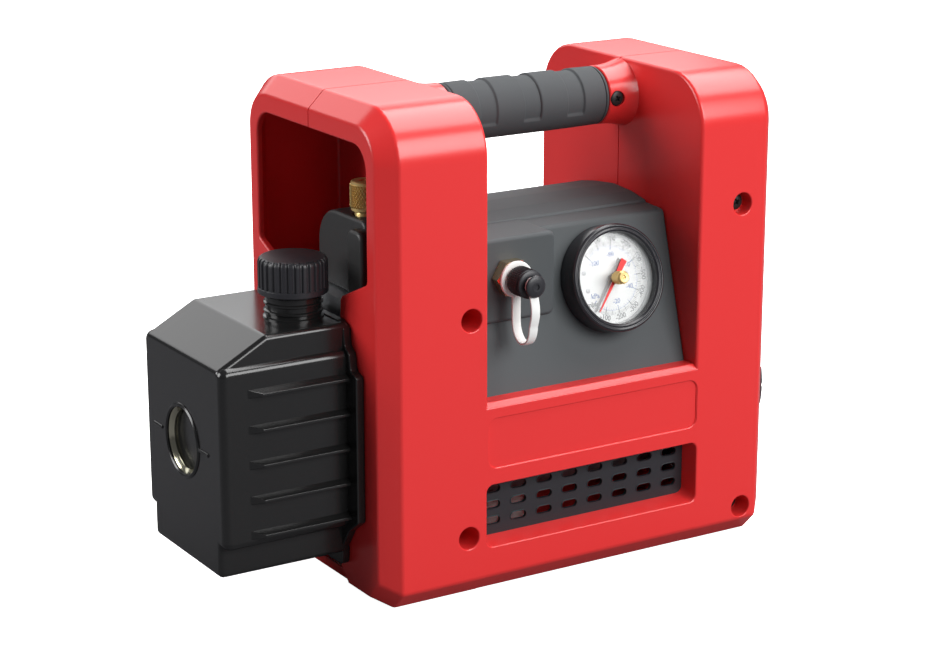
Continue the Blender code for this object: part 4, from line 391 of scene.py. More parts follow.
def nodes_tree(name, sizes):
    """A Geometry Nodes tree with named inputs, its two end nodes, and a function that adds a node."""
    tree = bpy.data.node_groups.new(name, "GeometryNodeTree")
    tree.interface.new_socket("Geometry", in_out="INPUT", socket_type="NodeSocketGeometry")
    for label, kind in sizes:
        tree.interface.new_socket(label, in_out="INPUT", socket_type=f"NodeSocket{kind}")
    tree.interface.new_socket("Geometry", in_out="OUTPUT", socket_type="NodeSocketGeometry")
    return tree, tree.nodes.new("NodeGroupInput"), tree.nodes.new("NodeGroupOutput")


def finish_tree(tree, start, end, points, rotation=None):
    """Put the piece on the points, realise the instances and give them their material."""
    link = tree.links.new
    info = tree.nodes.new("GeometryNodeObjectInfo")
    link(start.outputs["Piece"], info.inputs["Object"])
    spread = tree.nodes.new("GeometryNodeInstanceOnPoints")
    link(points, spread.inputs["Points"])
    link(info.outputs["Geometry"], spread.inputs["Instance"])
    if rotation:
        link(rotation, spread.inputs["Rotation"])
    solid = tree.nodes.new("GeometryNodeRealizeInstances")
    link(spread.outputs["Instances"], solid.inputs["Geometry"])
    paint = tree.nodes.new("GeometryNodeSetMaterial")
    link(solid.outputs["Geometry"], paint.inputs["Geometry"])
    link(start.outputs["Material"], paint.inputs["Material"])
    link(paint.outputs["Geometry"], end.inputs["Geometry"])
    return tree


def ring_tree():
    """Copies of a piece turned about the axis in equal steps."""
    sizes = (
        ("Piece", "Object"),
        ("Count", "Int"),
        ("Start", "Float"),
        ("Step", "Float"),
        ("Material", "Material"),
    )
    tree, start, end = nodes_tree("ring_of_pieces", sizes)
    link = tree.links.new
    line = tree.nodes.new("GeometryNodeMeshLine")
    line.inputs["Offset"].default_value = (0, 0, 0)
    link(start.outputs["Count"], line.inputs["Count"])
    index = tree.nodes.new("GeometryNodeInputIndex")
    turn = tree.nodes.new("ShaderNodeMath")
    turn.operation = "MULTIPLY_ADD"
    link(index.outputs[0], turn.inputs[0])
    link(start.outputs["Step"], turn.inputs[1])
    link(start.outputs["Start"], turn.inputs[2])
    about = tree.nodes.new("ShaderNodeCombineXYZ")
    link(turn.outputs[0], about.inputs["Z"])
    return finish_tree(tree, start, end, line.outputs["Mesh"], about.outputs[0])


def rows_tree():
    """Copies of a piece in rows and columns."""
    sizes = (
        ("Piece", "Object"),
        ("Columns", "Int"),
        ("Rows", "Int"),
        ("Width", "Float"),
        ("Height", "Float"),
        ("Material", "Material"),
    )
    tree, start, end = nodes_tree("rows_of_pieces", sizes)
    link = tree.links.new
    grid = tree.nodes.new("GeometryNodeMeshGrid")
    link(start.outputs["Columns"], grid.inputs["Vertices X"])
    link(start.outputs["Rows"], grid.inputs["Vertices Y"])
    link(start.outputs["Width"], grid.inputs["Size X"])
    link(start.outputs["Height"], grid.inputs["Size Y"])
    return finish_tree(tree, start, end, grid.outputs["Mesh"])


def points_tree():
    """Copies of a piece on the points of the modified mesh."""
    tree, start, end = nodes_tree("piece_on_points", (("Piece", "Object"), ("Material", "Material")))
    return finish_tree(tree, start, end, start.outputs["Geometry"])


TREES = {"ring": ring_tree(), "rows": rows_tree(), "points": points_tree()}


def repeated(kind, shape, material, points=(), **inputs):
    """The plain mesh that a repeat tree makes of a shape."""
    source = linked(shape, "repeated_piece")
    mesh = bpy.data.meshes.new("points")
    mesh.from_pydata(list(points), [], [])
    holder = linked(mesh, "repeat")
    modifier = holder.modifiers.new("Repeat", "NODES")
    modifier.node_group = TREES[kind]
    values = {"Piece": source, "Material": material, **inputs}
    for item in TREES[kind].interface.items_tree:
        if item.in_out == "INPUT" and item.name in values:
            modifier[item.identifier] = values[item.name]
    result = evaluated(holder)
    bpy.data.objects.remove(source)
    return result


def ring_of(shape, material, count, start=0.0, sweep=2 * math.pi, closed=True):
    """Copies of a shape in a ring, or over a sweep with one at each end."""
    step = sweep / (count if closed else count - 1)
    return repeated("ring", shape, material, Count=count, Start=start, Step=step)


def rows_of(shape, material, columns, rows, pitch_x, pitch_y):
    """Copies of a shape in columns and rows."""
    width, height = pitch_x * (columns - 1), pitch_y * (rows - 1)
    return repeated("rows", shape, material, Columns=columns, Rows=rows, Width=width, Height=height)


def grain_group():
    """Mould texture: a fine height, and two slow drifts for colour and gloss."""
    tree = bpy.data.node_groups.new("mould_grain", "ShaderNodeTree")
    for label, default in (("Grain Scale", 2000.0), ("Drift Scale", 30.0)):
        socket = tree.interface.new_socket(label, in_out="INPUT", socket_type="NodeSocketFloat")
        socket.default_value = default
    for label in ("Height", "Drift", "Speckle"):
        tree.interface.new_socket(label, in_out="OUTPUT", socket_type="NodeSocketFloat")
    start = tree.nodes.new("NodeGroupInput")
    end = tree.nodes.new("NodeGroupOutput")
    where = tree.nodes.new("ShaderNodeTexCoord")
    for label, scale, detail in (("Height", "Grain Scale", 3.0), ("Drift", "Drift Scale", 4.0)):
        noise = tree.nodes.new("ShaderNodeTexNoise")
        noise.inputs["Detail"].default_value = detail
        tree.links.new(where.outputs["Object"], noise.inputs["Vector"])
        tree.links.new(start.outputs[scale], noise.inputs["Scale"])
        tree.links.new(noise.outputs[0], end.inputs[label])
    cells = tree.nodes.new("ShaderNodeTexVoronoi")
    tree.links.new(where.outputs["Object"], cells.inputs["Vector"])
    tree.links.new(start.outputs["Grain Scale"], cells.inputs["Scale"])
    tree.links.new(cells.outputs["Distance"], end.inputs["Speckle"])
    return tree


def brushed_group():
    """Turned or brushed metal: fine lines round an axis, as a height and a gloss mask."""
    tree = bpy.data.node_groups.new("brushed_lines", "ShaderNodeTree")
    for label, default in (("Along", 60.0), ("Across", 4000.0)):
        socket = tree.interface.new_socket(label, in_out="INPUT", socket_type="NodeSocketFloat")
        socket.default_value = default
    tree.interface.new_socket("Lines", in_out="OUTPUT", socket_type="NodeSocketFloat")
    start = tree.nodes.new("NodeGroupInput")
    end = tree.nodes.new("NodeGroupOutput")
    where = tree.nodes.new("ShaderNodeTexCoord")
    stretch = tree.nodes.new("ShaderNodeCombineXYZ")
    tree.links.new(start.outputs["Across"], stretch.inputs["X"])
    tree.links.new(start.outputs["Along"], stretch.inputs["Y"])
    tree.links.new(start.outputs["Along"], stretch.inputs["Z"])
    scaled = tree.nodes.new("ShaderNodeVectorMath")
    scaled.operation = "MULTIPLY"
    tree.links.new(where.outputs["Object"], scaled.inputs[0])
    tree.links.new(stretch.outputs[0], scaled.inputs[1])
    noise = tree.nodes.new("ShaderNodeTexNoise")
    noise.inputs["Scale"].default_value = 1.0
    noise.inputs["Detail"].default_value = 5.0
    tree.links.new(scaled.outputs[0], noise.inputs["Vector"])
    tree.links.new(noise.outputs[0], end.inputs["Lines"])
    return tree


GROUPS = {"grain": grain_group(), "brushed": brushed_group()}


def principled(name, **constants):
    """A new material, its tree, and its Principled shader with its constant values set."""
    material = bpy.data.materials.new(name)
    material.use_nodes = True
    tree = material.node_tree
    shader = tree.nodes["Principled BSDF"]
    for label, value in constants.items():
        shader.inputs[label.replace("_", " ")].default_value = value
    return material, tree, shader


def blend_of(tree, factor, low, high, target):
    """A colour that moves between two by a factor, into a shader's socket."""
    mix = tree.nodes.new("ShaderNodeMix")
    mix.data_type = "RGBA"
    mix.inputs["A"].default_value = (*low, 1)
    mix.inputs["B"].default_value = (*high, 1)
    tree.links.new(factor, mix.inputs["Factor"])
    tree.links.new(mix.outputs["Result"], target)


def span_of(tree, factor, low, high, target):
    """A value between two by a factor, into a shader's socket."""
    span = tree.nodes.new("ShaderNodeMapRange")
    span.inputs["From Min"].default_value = 0.3
    span.inputs["From Max"].default_value = 0.7
    span.inputs["To Min"].default_value = low
    span.inputs["To Max"].default_value = high
    tree.links.new(factor, span.inputs["Value"])
    tree.links.new(span.outputs["Result"], target)


def bumped(tree, shader, height, distance, strength=1.0):
    """Feed a height into a shader's normal."""
    bump = tree.nodes.new("ShaderNodeBump")
    bump.inputs["Distance"].default_value = distance
    bump.inputs["Strength"].default_value = strength
    tree.links.new(height, bump.inputs["Height"])
    tree.links.new(bump.outputs["Normal"], shader.inputs["Normal"])


def moulded(name, colour, gloss, grain=(2200, 0.00002), drift=0.06, output="Height", **constants):
    """A moulded or painted finish: mould grain, and a slight drift of colour and gloss."""
    material, tree, shader = principled(name, **constants)
    group = tree.nodes.new("ShaderNodeGroup")
    group.node_tree = GROUPS["grain"]
    group.inputs["Grain Scale"].default_value = grain[0]
    group.inputs["Drift Scale"].default_value = 28.0
    low = [value * (1 - drift) for value in colour]
    high = [min(value * (1 + drift), 1) for value in colour]
    blend_of(tree, group.outputs["Drift"], low, high, shader.inputs["Base Color"])
    span_of(tree, group.outputs["Drift"], gloss[0], gloss[1], shader.inputs["Roughness"])
    bumped(tree, shader, group.outputs[output], grain[1])
    return material


def machined(name, colour, gloss, lines=(60, 3000), depth=0.000006, **constants):
    """A bright metal with fine machining lines."""
    material, tree, shader = principled(name, Metallic=1.0, **constants)
    group = tree.nodes.new("ShaderNodeGroup")
    group.node_tree = GROUPS["brushed"]
    group.inputs["Along"].default_value = lines[0]
    group.inputs["Across"].default_value = lines[1]
    low = [value * 0.9 for value in colour]
    blend_of(tree, group.outputs["Lines"], low, colour, shader.inputs["Base Color"])
    span_of(tree, group.outputs["Lines"], gloss[0], gloss[1], shader.inputs["Roughness"])
    bumped(tree, shader, group.outputs["Lines"], depth)
    return material


def make_materials(finish):
    """Every material, under the record's slot name or a name of its own."""
    moulded("red_moulding", finish.housing, (0.36, 0.44), (1500, 0.000012), 0.03, Specular_IOR_Level=0.32)
    moulded("tank_black", finish.tank, (0.32, 0.38), (900, 0.000006), 0.08, Specular_IOR_Level=0.85)
    moulded(
        "strap_plastic", (0.42, 0.42, 0.46), (0.30, 0.40), (900, 0.00001), 0.02,
        Subsurface_Weight=0.5, Subsurface_Radius=(0.004, 0.004, 0.0045), Subsurface_Scale=0.5,
    )
    moulded(
        "cast_aluminium", (0.52, 0.53, 0.55), (0.42, 0.58), (1100, 0.0001), 0.08, "Speckle", Metallic=1.0
    )
    moulded("oil", (0.10, 0.095, 0.008), (0.05, 0.1), (300, 0.00001), 0.3, Coat_Weight=0.6)
    for name, colour, gloss, grain, drift in (
        ("charcoal_moulding", finish.cover, (0.38, 0.48), (1800, 0.00005), 0.12),
        ("black_moulding", (0.005, 0.005, 0.0055), (0.14, 0.22), (1500, 0.000004), 0.06),
        ("black_matte", (0.0065, 0.006, 0.0068), (0.34, 0.42), (2500, 0.00002), 0.06),
        ("grip_rubber", finish.grip, (0.50, 0.60), (1500, 0.00008), 0.1),
        ("seal_rubber", (0.015, 0.015, 0.016), (0.6, 0.7), (1500, 0.00003), 0.06),
        ("blackened_steel", (0.012, 0.012, 0.013), (0.2, 0.3), (3000, 0.00001), 0.06),
        ("black_casting", (0.014, 0.013, 0.015), (0.24, 0.34), (700, 0.00004), 0.1),
        ("motor_paint", (0.30, 0.24, 0.27), (0.4, 0.5), (900, 0.00004), 0.1),
        ("dial_white", (0.50, 0.545, 0.60), (0.45, 0.5), (3000, 0.000002), 0.01),
        ("dial_black", (0.012, 0.012, 0.013), (0.4, 0.5), (3000, 0.000002), 0.06),
        ("dial_blue", (0.03, 0.11, 0.42), (0.45, 0.5), (3000, 0.000002), 0.06),
        ("dial_red", (0.72, 0.018, 0.025), (0.35, 0.45), (3000, 0.000002), 0.06),
    ):
        moulded(name, colour, gloss, grain, drift)
    for name, colour, gloss in (
        ("steel", (0.60, 0.60, 0.61), (0.18, 0.30)),
        ("brass", finish.brass, (0.30, 0.42)),
        ("pale_brass", (0.88, 0.70, 0.45), (0.16, 0.26)),
        ("iron", (0.20, 0.20, 0.21), (0.35, 0.5)),
        ("bore_metal", (0.52, 0.50, 0.38), (0.14, 0.22)),
    ):
        machined(name, colour, gloss)
    machined("copper", (0.72, 0.30, 0.12), (0.3, 0.42), (1500, 2500), 0.0001)
    clear("clear_glass", (1.0, 1.0, 1.0), 0.02, 0.015)
    clear("sight_glass", (0.95, 0.96, 0.90), 0.03, 0.5)


def clear(name, tint, roughness, shine):
    """A clear pane: only its reflection shows, stronger at a grazing angle."""
    material, tree, shader = principled(name, Roughness=roughness, Metallic=1.0)
    group = tree.nodes.new("ShaderNodeGroup")
    group.node_tree = GROUPS["grain"]
    group.inputs["Grain Scale"].default_value = 60.0
    low = [value * 0.96 for value in tint]
    blend_of(tree, group.outputs["Drift"], low, tint, shader.inputs["Base Color"])
    fresnel = tree.nodes.new("ShaderNodeFresnel")
    fresnel.inputs["IOR"].default_value = 1.45
    scaled = tree.nodes.new("ShaderNodeMath")
    scaled.operation = "MULTIPLY"
    scaled.inputs[1].default_value = shine
    tree.links.new(fresnel.outputs[0], scaled.inputs[0])
    tree.links.new(scaled.outputs[0], shader.inputs["Alpha"])
    return material


def finish_of(name):
    """A material by its name."""
    return bpy.data.materials[name]


def settle(name, mesh, material, body="housing", stands_for=(), sharp=35, weighted=False):
    """Make a piece of a mesh, in its place: its material, its smooth shading and the body it rides on."""
    if not mesh.polygons:
        raise ValueError(f"{name} has no faces")
    if material is not None:
        mesh.materials.clear()
        mesh.materials.append(material)
    mesh.shade_smooth()
    mesh.set_sharp_from_angle(angle=math.radians(sharp))
    obj = linked(mesh, name)
    mesh.name = name
    if weighted:
        normals = obj.modifiers.new("Flat faces", "WEIGHTED_NORMAL")
        normals.keep_sharp = True
        normals.weight = 80
    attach(obj, body)
    if stands_for:
        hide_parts(*stands_for)
    return obj


def up_panel(x, edge, foot, drop, way):
    """A frame on a slanted panel: local Z out of it, local Y up it, at a drop below its top edge."""
    tilt = math.atan2(foot - abs(edge[0]), edge[1] - SADDLE_FLOOR)
    up = Vector((0, -way * math.sin(tilt), math.cos(tilt)))
    out = Vector((0, way * math.cos(tilt), math.sin(tilt)))
    turn = Matrix((Vector((-way, 0, 0)), up, out)).transposed().to_4x4()
    return Matrix.Translation(Vector((x, edge[0], edge[1])) - up * drop) @ turn


def gauge_place():
    """The gauge's place on the cover's front panel."""
    return up_panel(GAUGE[0], COVER_EDGE, COVER_FOOT, GAUGE[1], -1)


def back_place(x):
    """A place on the cover's back panel, level with the switch and the inlet."""
    return up_panel(x, COVER_BACK, COVER_FOOT, REAR_DROP, 1)


def intake_place():
    """The intake's axis, turned to the front."""
    return Matrix.Translation((INTAKE[0], 0, INTAKE[1])) @ TO_FRONT


def sight_place():
    """The sight glass's axis, with local Z along X."""
    return Matrix.Translation((0, *SIGHT)) @ ALONG_X


def shaft_place():
    """The motor shaft's axis, with local Z along X."""
    return Matrix.Translation((0, 0, AXIS_Z)) @ ALONG_X


def body_section(inset, rise, steps=9):
    """The housing's outline in Y and Z, drawn in by an inset, its foot raised."""
    side = HALF_DEPTH - inset
    half = [
        (side - 0.0092, rise, 0.0022),
        (side, rise + 0.0095, 0.0040),
        (side, HEIGHT - inset, max(0.027 - inset, 0.004)),
    ]
    return rounded(both_sides(half), steps)


def end_levels(chamfer, edge):
    """Distances from the end plane and insets, through the chamfer at the housing's end."""
    far = chamfer + 0.006
    path = rounded([(0, far, 0), (0, chamfer, edge), (chamfer, 0, edge), (far, 0, 0), (far, far, 0)], 4)
    return path[:-1]


def hoop(end, inner, chamfer, rise, edge, shrink=0.0):
    """One hoop as a solid, from the housing's end to its inner face."""
    way = 1 if inner > end else -1
    levels = [(end + way * (away + shrink), inset + shrink) for away, inset in end_levels(chamfer, 0.0028)]
    levels += [
        (inner - way * (edge * (1 - math.sin(a)) + shrink), edge * (1 - math.cos(a)) + shrink)
        for a in quarter(4)
    ]
    sections = []
    for x, inset in levels:
        lift = inset
        if abs(x - end) < abs(x - inner):
            lift = shrink + rise * (inset - shrink) / chamfer
        sections.append([(x, y, z) for y, z in body_section(inset, lift)])
    return loft(sections)


def base_block(inset, top, left, right):
    """The housing's lower part between the hoops, its top edges chamfered."""
    side = HALF_DEPTH - inset
    half = [
        (side - 0.0092, inset, 0.0022),
        (side, inset + 0.0095, 0.0040),
        (side, top - 0.0026, 0.0012),
        (side - 0.0026, top, 0.0012),
    ]
    outline = rounded(both_sides(half), 6)
    return loft([[(x, y, z) for y, z in outline] for x in (left, right)])


def arch_outline():
    """The arched opening's outline in Y and Z."""
    foot = 0.033
    half = [
        (foot, -0.002, 0),
        (foot, 0.005, 0.001),
        (0.0228, 0.0152, 0.003),
        (0.0293, 0.1532, 0.004),
        (0.0562, 0.165, 0.004),
        (0.0562, 0.2315, 0.012),
    ]
    return rounded(both_sides(half), 7)


def flared_bore(radius, depth, edge):
    """A bore along local Z from a face at HALF_DEPTH, its mouth rounded."""
    profile = [(0, HALF_DEPTH - depth), (radius, HALF_DEPTH - depth)]
    profile += [
        (radius + edge * (1 - math.cos(a)), HALF_DEPTH - edge * (1 - math.sin(a))) for a in quarter(4)
    ]
    profile += [(radius + edge, HALF_DEPTH + 0.002), (0, HALF_DEPTH + 0.002)]
    return lathe(profile, 40)


def window_cutter(turn):
    """The ventilation window: its sill rises and its sides close in towards the grille."""
    # At the back the outline is turned but not mirrored, so that window lies 11.8 mm off its grille.
    left, right, sill, top = WINDOW
    sections = []
    edge = 0.0009
    levels = [(HALF_DEPTH + 0.002, -edge, 0.0)]
    levels += [(HALF_DEPTH - edge * (1 - math.cos(a)), -edge * (1 - math.sin(a)), 0.0) for a in quarter(3)]
    levels += [(HALF_DEPTH - 0.0140, 0.0016, 1.0)]
    for depth, close, share in levels:
        outline = block_outline(
            left + close, right - close, sill + close + 0.0014 * share, top - close, 0.0040, 5
        )
        sections.append([(x, z, depth) for x, z in outline])
    return placed(loft(sections), turn)


class PUMP_OT_housing(bpy.types.Operator):
    """Build the two moulded shells with their hoops, bores, window and name panel"""

    bl_idname = "pump.housing"
    bl_label = "Housing Shells"

    def execute(self, context):
        edge = context.scene.pump_sizes.edge_round
        left_hoop, right_hoop = (hoop(*hoop_shape, edge) for hoop_shape in HOOPS)
        overlap = 0.012
        base = base_block(0.0001, SADDLE_FLOOR, SADDLE_LEFT - overlap, SADDLE_RIGHT + overlap)
        inside = HALF_DEPTH - WALL
        hollows = [hoop(*hoop_shape, edge, WALL) for hoop_shape in HOOPS]
        hollows.append(
            box((SADDLE_LEFT - 0.004, -inside, 0.010), (SADDLE_RIGHT + 0.004, inside, SADDLE_FLOOR - WALL))
        )
        posts, bores = self.posts_and_bores()
        frames, windows = self.windows()
        whole = carve(
            left_hoop,
            ("UNION", [right_hoop, base] + self.handle_bosses()),
            ("DIFFERENCE", hollows),
            ("UNION", posts + frames),
            ("DIFFERENCE", bores + windows + self.mouths() + self.seam_grooves(context)),
        )
        red = finish_of("red_moulding")
        for name, side in (("front_shell", -1), ("rear_shell", 1)):
            edges = sorted((-side * 0.1, side * 0.00015))
            other = box((-0.2, edges[0], -0.01), (0.2, edges[1], 0.3))
            half = carve(whole.copy(), ("DIFFERENCE", [other]))
            settle(f"red_{name}", half, red, "housing", [name], 32, True)
        return {"FINISHED"}

    def handle_bosses(self):
        """The round bosses that carry the handle, flared where they meet the hoops."""
        bosses = []
        ends = (SADDLE_LEFT - 0.002, SADDLE_RIGHT + 0.002)
        for start, end, screw_x in zip(BOSS_FACES, ends, BOSS_SCREWS):
            reach = end - start
            profile = [(0, 0), (BOSS_RADIUS - BOSS_EDGE, 0), (BOSS_RADIUS, math.copysign(BOSS_EDGE, reach))]
            for step in range(1, 13):
                part = step / 12
                profile.append((BOSS_RADIUS + BOSS_FLARE * part**2.4, part * reach))
            profile.append((0, reach))
            boss = placed(lathe(profile, 72), Matrix.Translation((start, 0, HANDLE_Z)) @ ALONG_X)
            seat = prism(circle(0.0042, 32), BOSS_SEAT, 0.030)
            placed(seat, Matrix.Translation((screw_x, 0, HANDLE_Z)) @ TO_FRONT)
            bosses.append(carve(boss, ("DIFFERENCE", [seat])))
        return bosses

    def posts_and_bores(self):
        """The screw posts of both shells, and the counterbores in the front one."""
        posts, bores = [], []
        for x, z, depth in SCREWS:
            place = Matrix.Translation((x, 0, z))
            seat = HALF_DEPTH - depth - POST_FLOOR
            for turn, start, radius in ((TO_FRONT, seat, 0.0080), (TO_BACK, -seat, 0.0045)):
                post = prism(circle(radius, 32), start, HALF_DEPTH - WALL / 2)
                posts.append(placed(post, place @ turn))
            bores.append(placed(flared_bore(0.0058, depth, 0.0007), place @ TO_FRONT))
        return posts, bores

    def windows(self):
        """The frames round the ventilation windows, and the windows' cutters."""
        frames, cutters = [], []
        outline = block_outline(SADDLE_LEFT - 0.003, SADDLE_RIGHT + 0.004, 0.0222, 0.0602, 0.005)
        for turn in (TO_FRONT, TO_BACK):
            frames.append(placed(prism(outline, HALF_DEPTH - 0.013, HALF_DEPTH - WALL / 2), turn))
            cutters.append(window_cutter(turn))
        return frames, cutters

    def mouths(self):
        """The cutters of the arched opening, the fan's mouth and the sunk name panel."""
        arch = mouth_cutter(arch_outline(), -(LEFT + 2 * WALL), -LEFT, 0.0013)
        fan_mouth = mouth_cutter(circle(0.051, 96), RIGHT - 2 * WALL, RIGHT, 0.0010)
        corners = ((-0.0574, 0.0662), (0.0696, 0.0662), (0.0696, 0.0918), (-0.0574, 0.0918))
        panel = rounded([(x, z, 0.005) for x, z in corners], 8)
        panel = mouth_cutter(panel, HALF_DEPTH - 0.0010, HALF_DEPTH - 0.0004, 0.0005, 3)
        return [placed(arch, TO_LEFT), placed(fan_mouth, shaft_place()), placed(panel, TO_FRONT)]

    def seam_grooves(self, context):
        """The shallow grooves round the hoops where the two shells meet."""
        sizes = context.scene.pump_sizes
        seam = sizes.seam_width
        grooves = []
        for hoop_shape in HOOPS:
            low, high = sorted(hoop_shape[:2])
            slab = box((low - 0.002, -seam / 2, -0.002), (high + 0.002, seam / 2, HEIGHT + 0.002))
            core = hoop(*hoop_shape, sizes.edge_round, 0.0008)
            grooves.append(carve(slab, ("DIFFERENCE", [core])))
        return grooves


def phillips_screw(head, high, shank, length):
    """A pan head screw along local Z with a cross recess, its seat at height 0."""
    profile = [(0, high)]
    for step in range(1, 9):
        a = math.pi / 2 * step / 8
        profile.append((head * math.sin(a), high * 0.35 + high * 0.65 * math.cos(a)))
    profile += [(head, 0.0002), (shank, 0.0), (shank, -length), (0, -length)]
    levels = ((high + 0.001, 0.62 * head, 0.17 * head), (high - 0.0018, 0.2 * head, 0.10 * head))
    wing = hull([(x * reach, y * thick, z) for z, reach, thick in levels for x in (-1, 1) for y in (-1, 1)])
    cross = placed(wing.copy(), Matrix.Rotation(math.pi / 2, 4, "Z"))
    turn = Matrix.Rotation(math.radians(28), 4, "Z")
    return placed(carve(lathe(profile, 40), ("DIFFERENCE", [wing, cross])), turn)


class PUMP_OT_screws(bpy.types.Operator):
    """Put the cross head screws in the housing's bores and the handle's roots"""

    bl_idname = "pump.screws"
    bl_label = "Screws"

    def execute(self, context):
        dark = finish_of("blackened_steel")
        screw = placed(phillips_screw(0.0044, 0.0026, 0.0016, 0.012), TO_FRONT)
        places = [(x, depth - HALF_DEPTH, z) for x, z, depth in SCREWS]
        names = [f"housing_screw_{number}" for number in range(1, 5)]
        mesh = repeated("points", screw, dark, places)
        settle("case_screws", mesh, dark, "housing", names)
        small = placed(phillips_screw(0.0039, 0.0020, 0.0016, 0.009), TO_FRONT)
        mesh = repeated("points", small, dark, [(x, -BOSS_SEAT, HANDLE_Z) for x in BOSS_SCREWS])
        settle("grip_screws", mesh, dark, "housing", ["handle_screw_1", "handle_screw_2"])
        return {"FINISHED"}


class PUMP_OT_handle(bpy.types.Operator):
    """Build the soft grip with its finger recesses and end rims"""

    bl_idname = "pump.handle"
    bl_label = "Handle Grip"

    def execute(self, context):
        left, right = GRIP_ENDS
        middle_x = (left + right) / 2
        count = 235
        rows = [left + (right - left) * step / count for step in range(count + 1)]

        def reach(turn, x):
            height = GRIP_RADIUS * math.sin(turn)
            depth = 0.0
            for middle in (-0.021, 0.0055, 0.032):
                across = smoothstep(middle - 0.0054, middle - 0.0048, x) - smoothstep(
                    middle + 0.0046, middle + 0.0052, x
                )
                around = smoothstep(-0.0064, -0.0056, height)
                depth = max(depth, across * around)
            bulge = 0.00035 * (1 - abs((x - middle_x) / (right - middle_x)) ** 3)
            for groove in (-0.0395, 0.0505):
                depth = max(depth, 0.7 * (1 - smoothstep(0.0, 0.0004, abs(x - groove))))
            ends = smoothstep(0.0, 0.0008, min(x - left, right - x))
            return GRIP_RADIUS + bulge - 0.0010 * depth - 0.0006 * (1 - ends)

        grip = wrapped(rows, 128, reach)
        place = Matrix.Translation((0, 0, HANDLE_Z)) @ ALONG_X
        rubber = finish_of("grip_rubber")
        settle("soft_grip", placed(grip, place), rubber, "housing", ["handle_grip"], 60)
        return {"FINISHED"}


def cover_section(inset):
    """The control cover's outline in Y and Z."""
    corners = [
        (-COVER_FOOT + inset, SADDLE_FLOOR, 0),
        (COVER_EDGE[0] + inset, COVER_EDGE[1] - inset, 0.0030),
        (-0.0264, 0.1774 - inset, 0.0004),
        (-0.0256, 0.1786 - inset, 0.0004),
        (-0.0137, 0.1809 - inset, 0.010),
        (0.0028, 0.1819 - inset, 0.020),
        (0.0207, 0.1799 - inset, 0.010),
        (0.033, 0.1776 - inset, 0.002),
        (COVER_BACK[0] - inset, COVER_BACK[1] - inset, 0.004),
        (COVER_FOOT - inset, SADDLE_FLOOR, 0),
    ]
    return rounded(corners, 6)


class PUMP_OT_cover(bpy.types.Operator):
    """Build the control cover with its port boss"""

    bl_idname = "pump.cover"
    bl_label = "Control Cover"

    def execute(self, context):
        left, right = SADDLE_LEFT + 0.0003, SADDLE_RIGHT - 0.0003
        levels = [(left + 0.001 * (1 - math.cos(a)), 0.001 * (1 - math.sin(a))) for a in quarter(3)]
        levels += [(right - 0.001 * (1 - math.sin(a)), 0.001 * (1 - math.cos(a))) for a in quarter(3)]
        cover = loft([[(x, y, z) for y, z in cover_section(inset)] for x, inset in levels])
        port = block_outline(left - 0.004, -0.0075, 0.1345, 0.1778, 0.0035)
        boss = placed(pillow(port, 0.025, PORT_FACE, 0.0022, 5), TO_FRONT)
        beyond = box((left - 0.01, -0.08, 0.12), (left, -0.02, 0.19))
        corners = [(-0.056, 0.098, 0), (0.056, 0.098, 0), (0.036, 0.168, 0.004), (-0.036, 0.168, 0.004)]
        hollow = prism(rounded(corners), left + 0.0025, right - 0.0025)
        cuts = [placed(hollow, ALONG_X)]
        cuts.append(placed(prism(circle(0.0253, 64), -0.012, 0.006), gauge_place()))
        for x, wide, tall in ((SWITCH_X, 0.030, 0.022), (INLET_X, 0.048, 0.028)):
            hole = prism(block_outline(-wide / 2, wide / 2, -tall / 2, tall / 2, 0.0015), -0.012, 0.004)
            cuts.append(placed(hole, back_place(x)))
        boss = carve(boss, ("DIFFERENCE", [beyond]))
        mesh = carve(cover, ("UNION", [boss]), ("DIFFERENCE", cuts))
        grey = finish_of("charcoal_moulding")
        settle("grey_cover", mesh, grey, "housing", ["control_cover"], 35, True)
        return {"FINISHED"}


def lettering(text, size, place, name):
    """Flat printed figures as a mesh piece."""
    curve = bpy.data.curves.new(name, "FONT")
    curve.body = text
    curve.size = size
    curve.align_x = "CENTER"
    curve.align_y = "CENTER"
    curve.extrude = 0.00002
    curve.offset = 0.00010
    mesh = evaluated(linked(curve, name))
    mesh.transform(place)
    return mesh


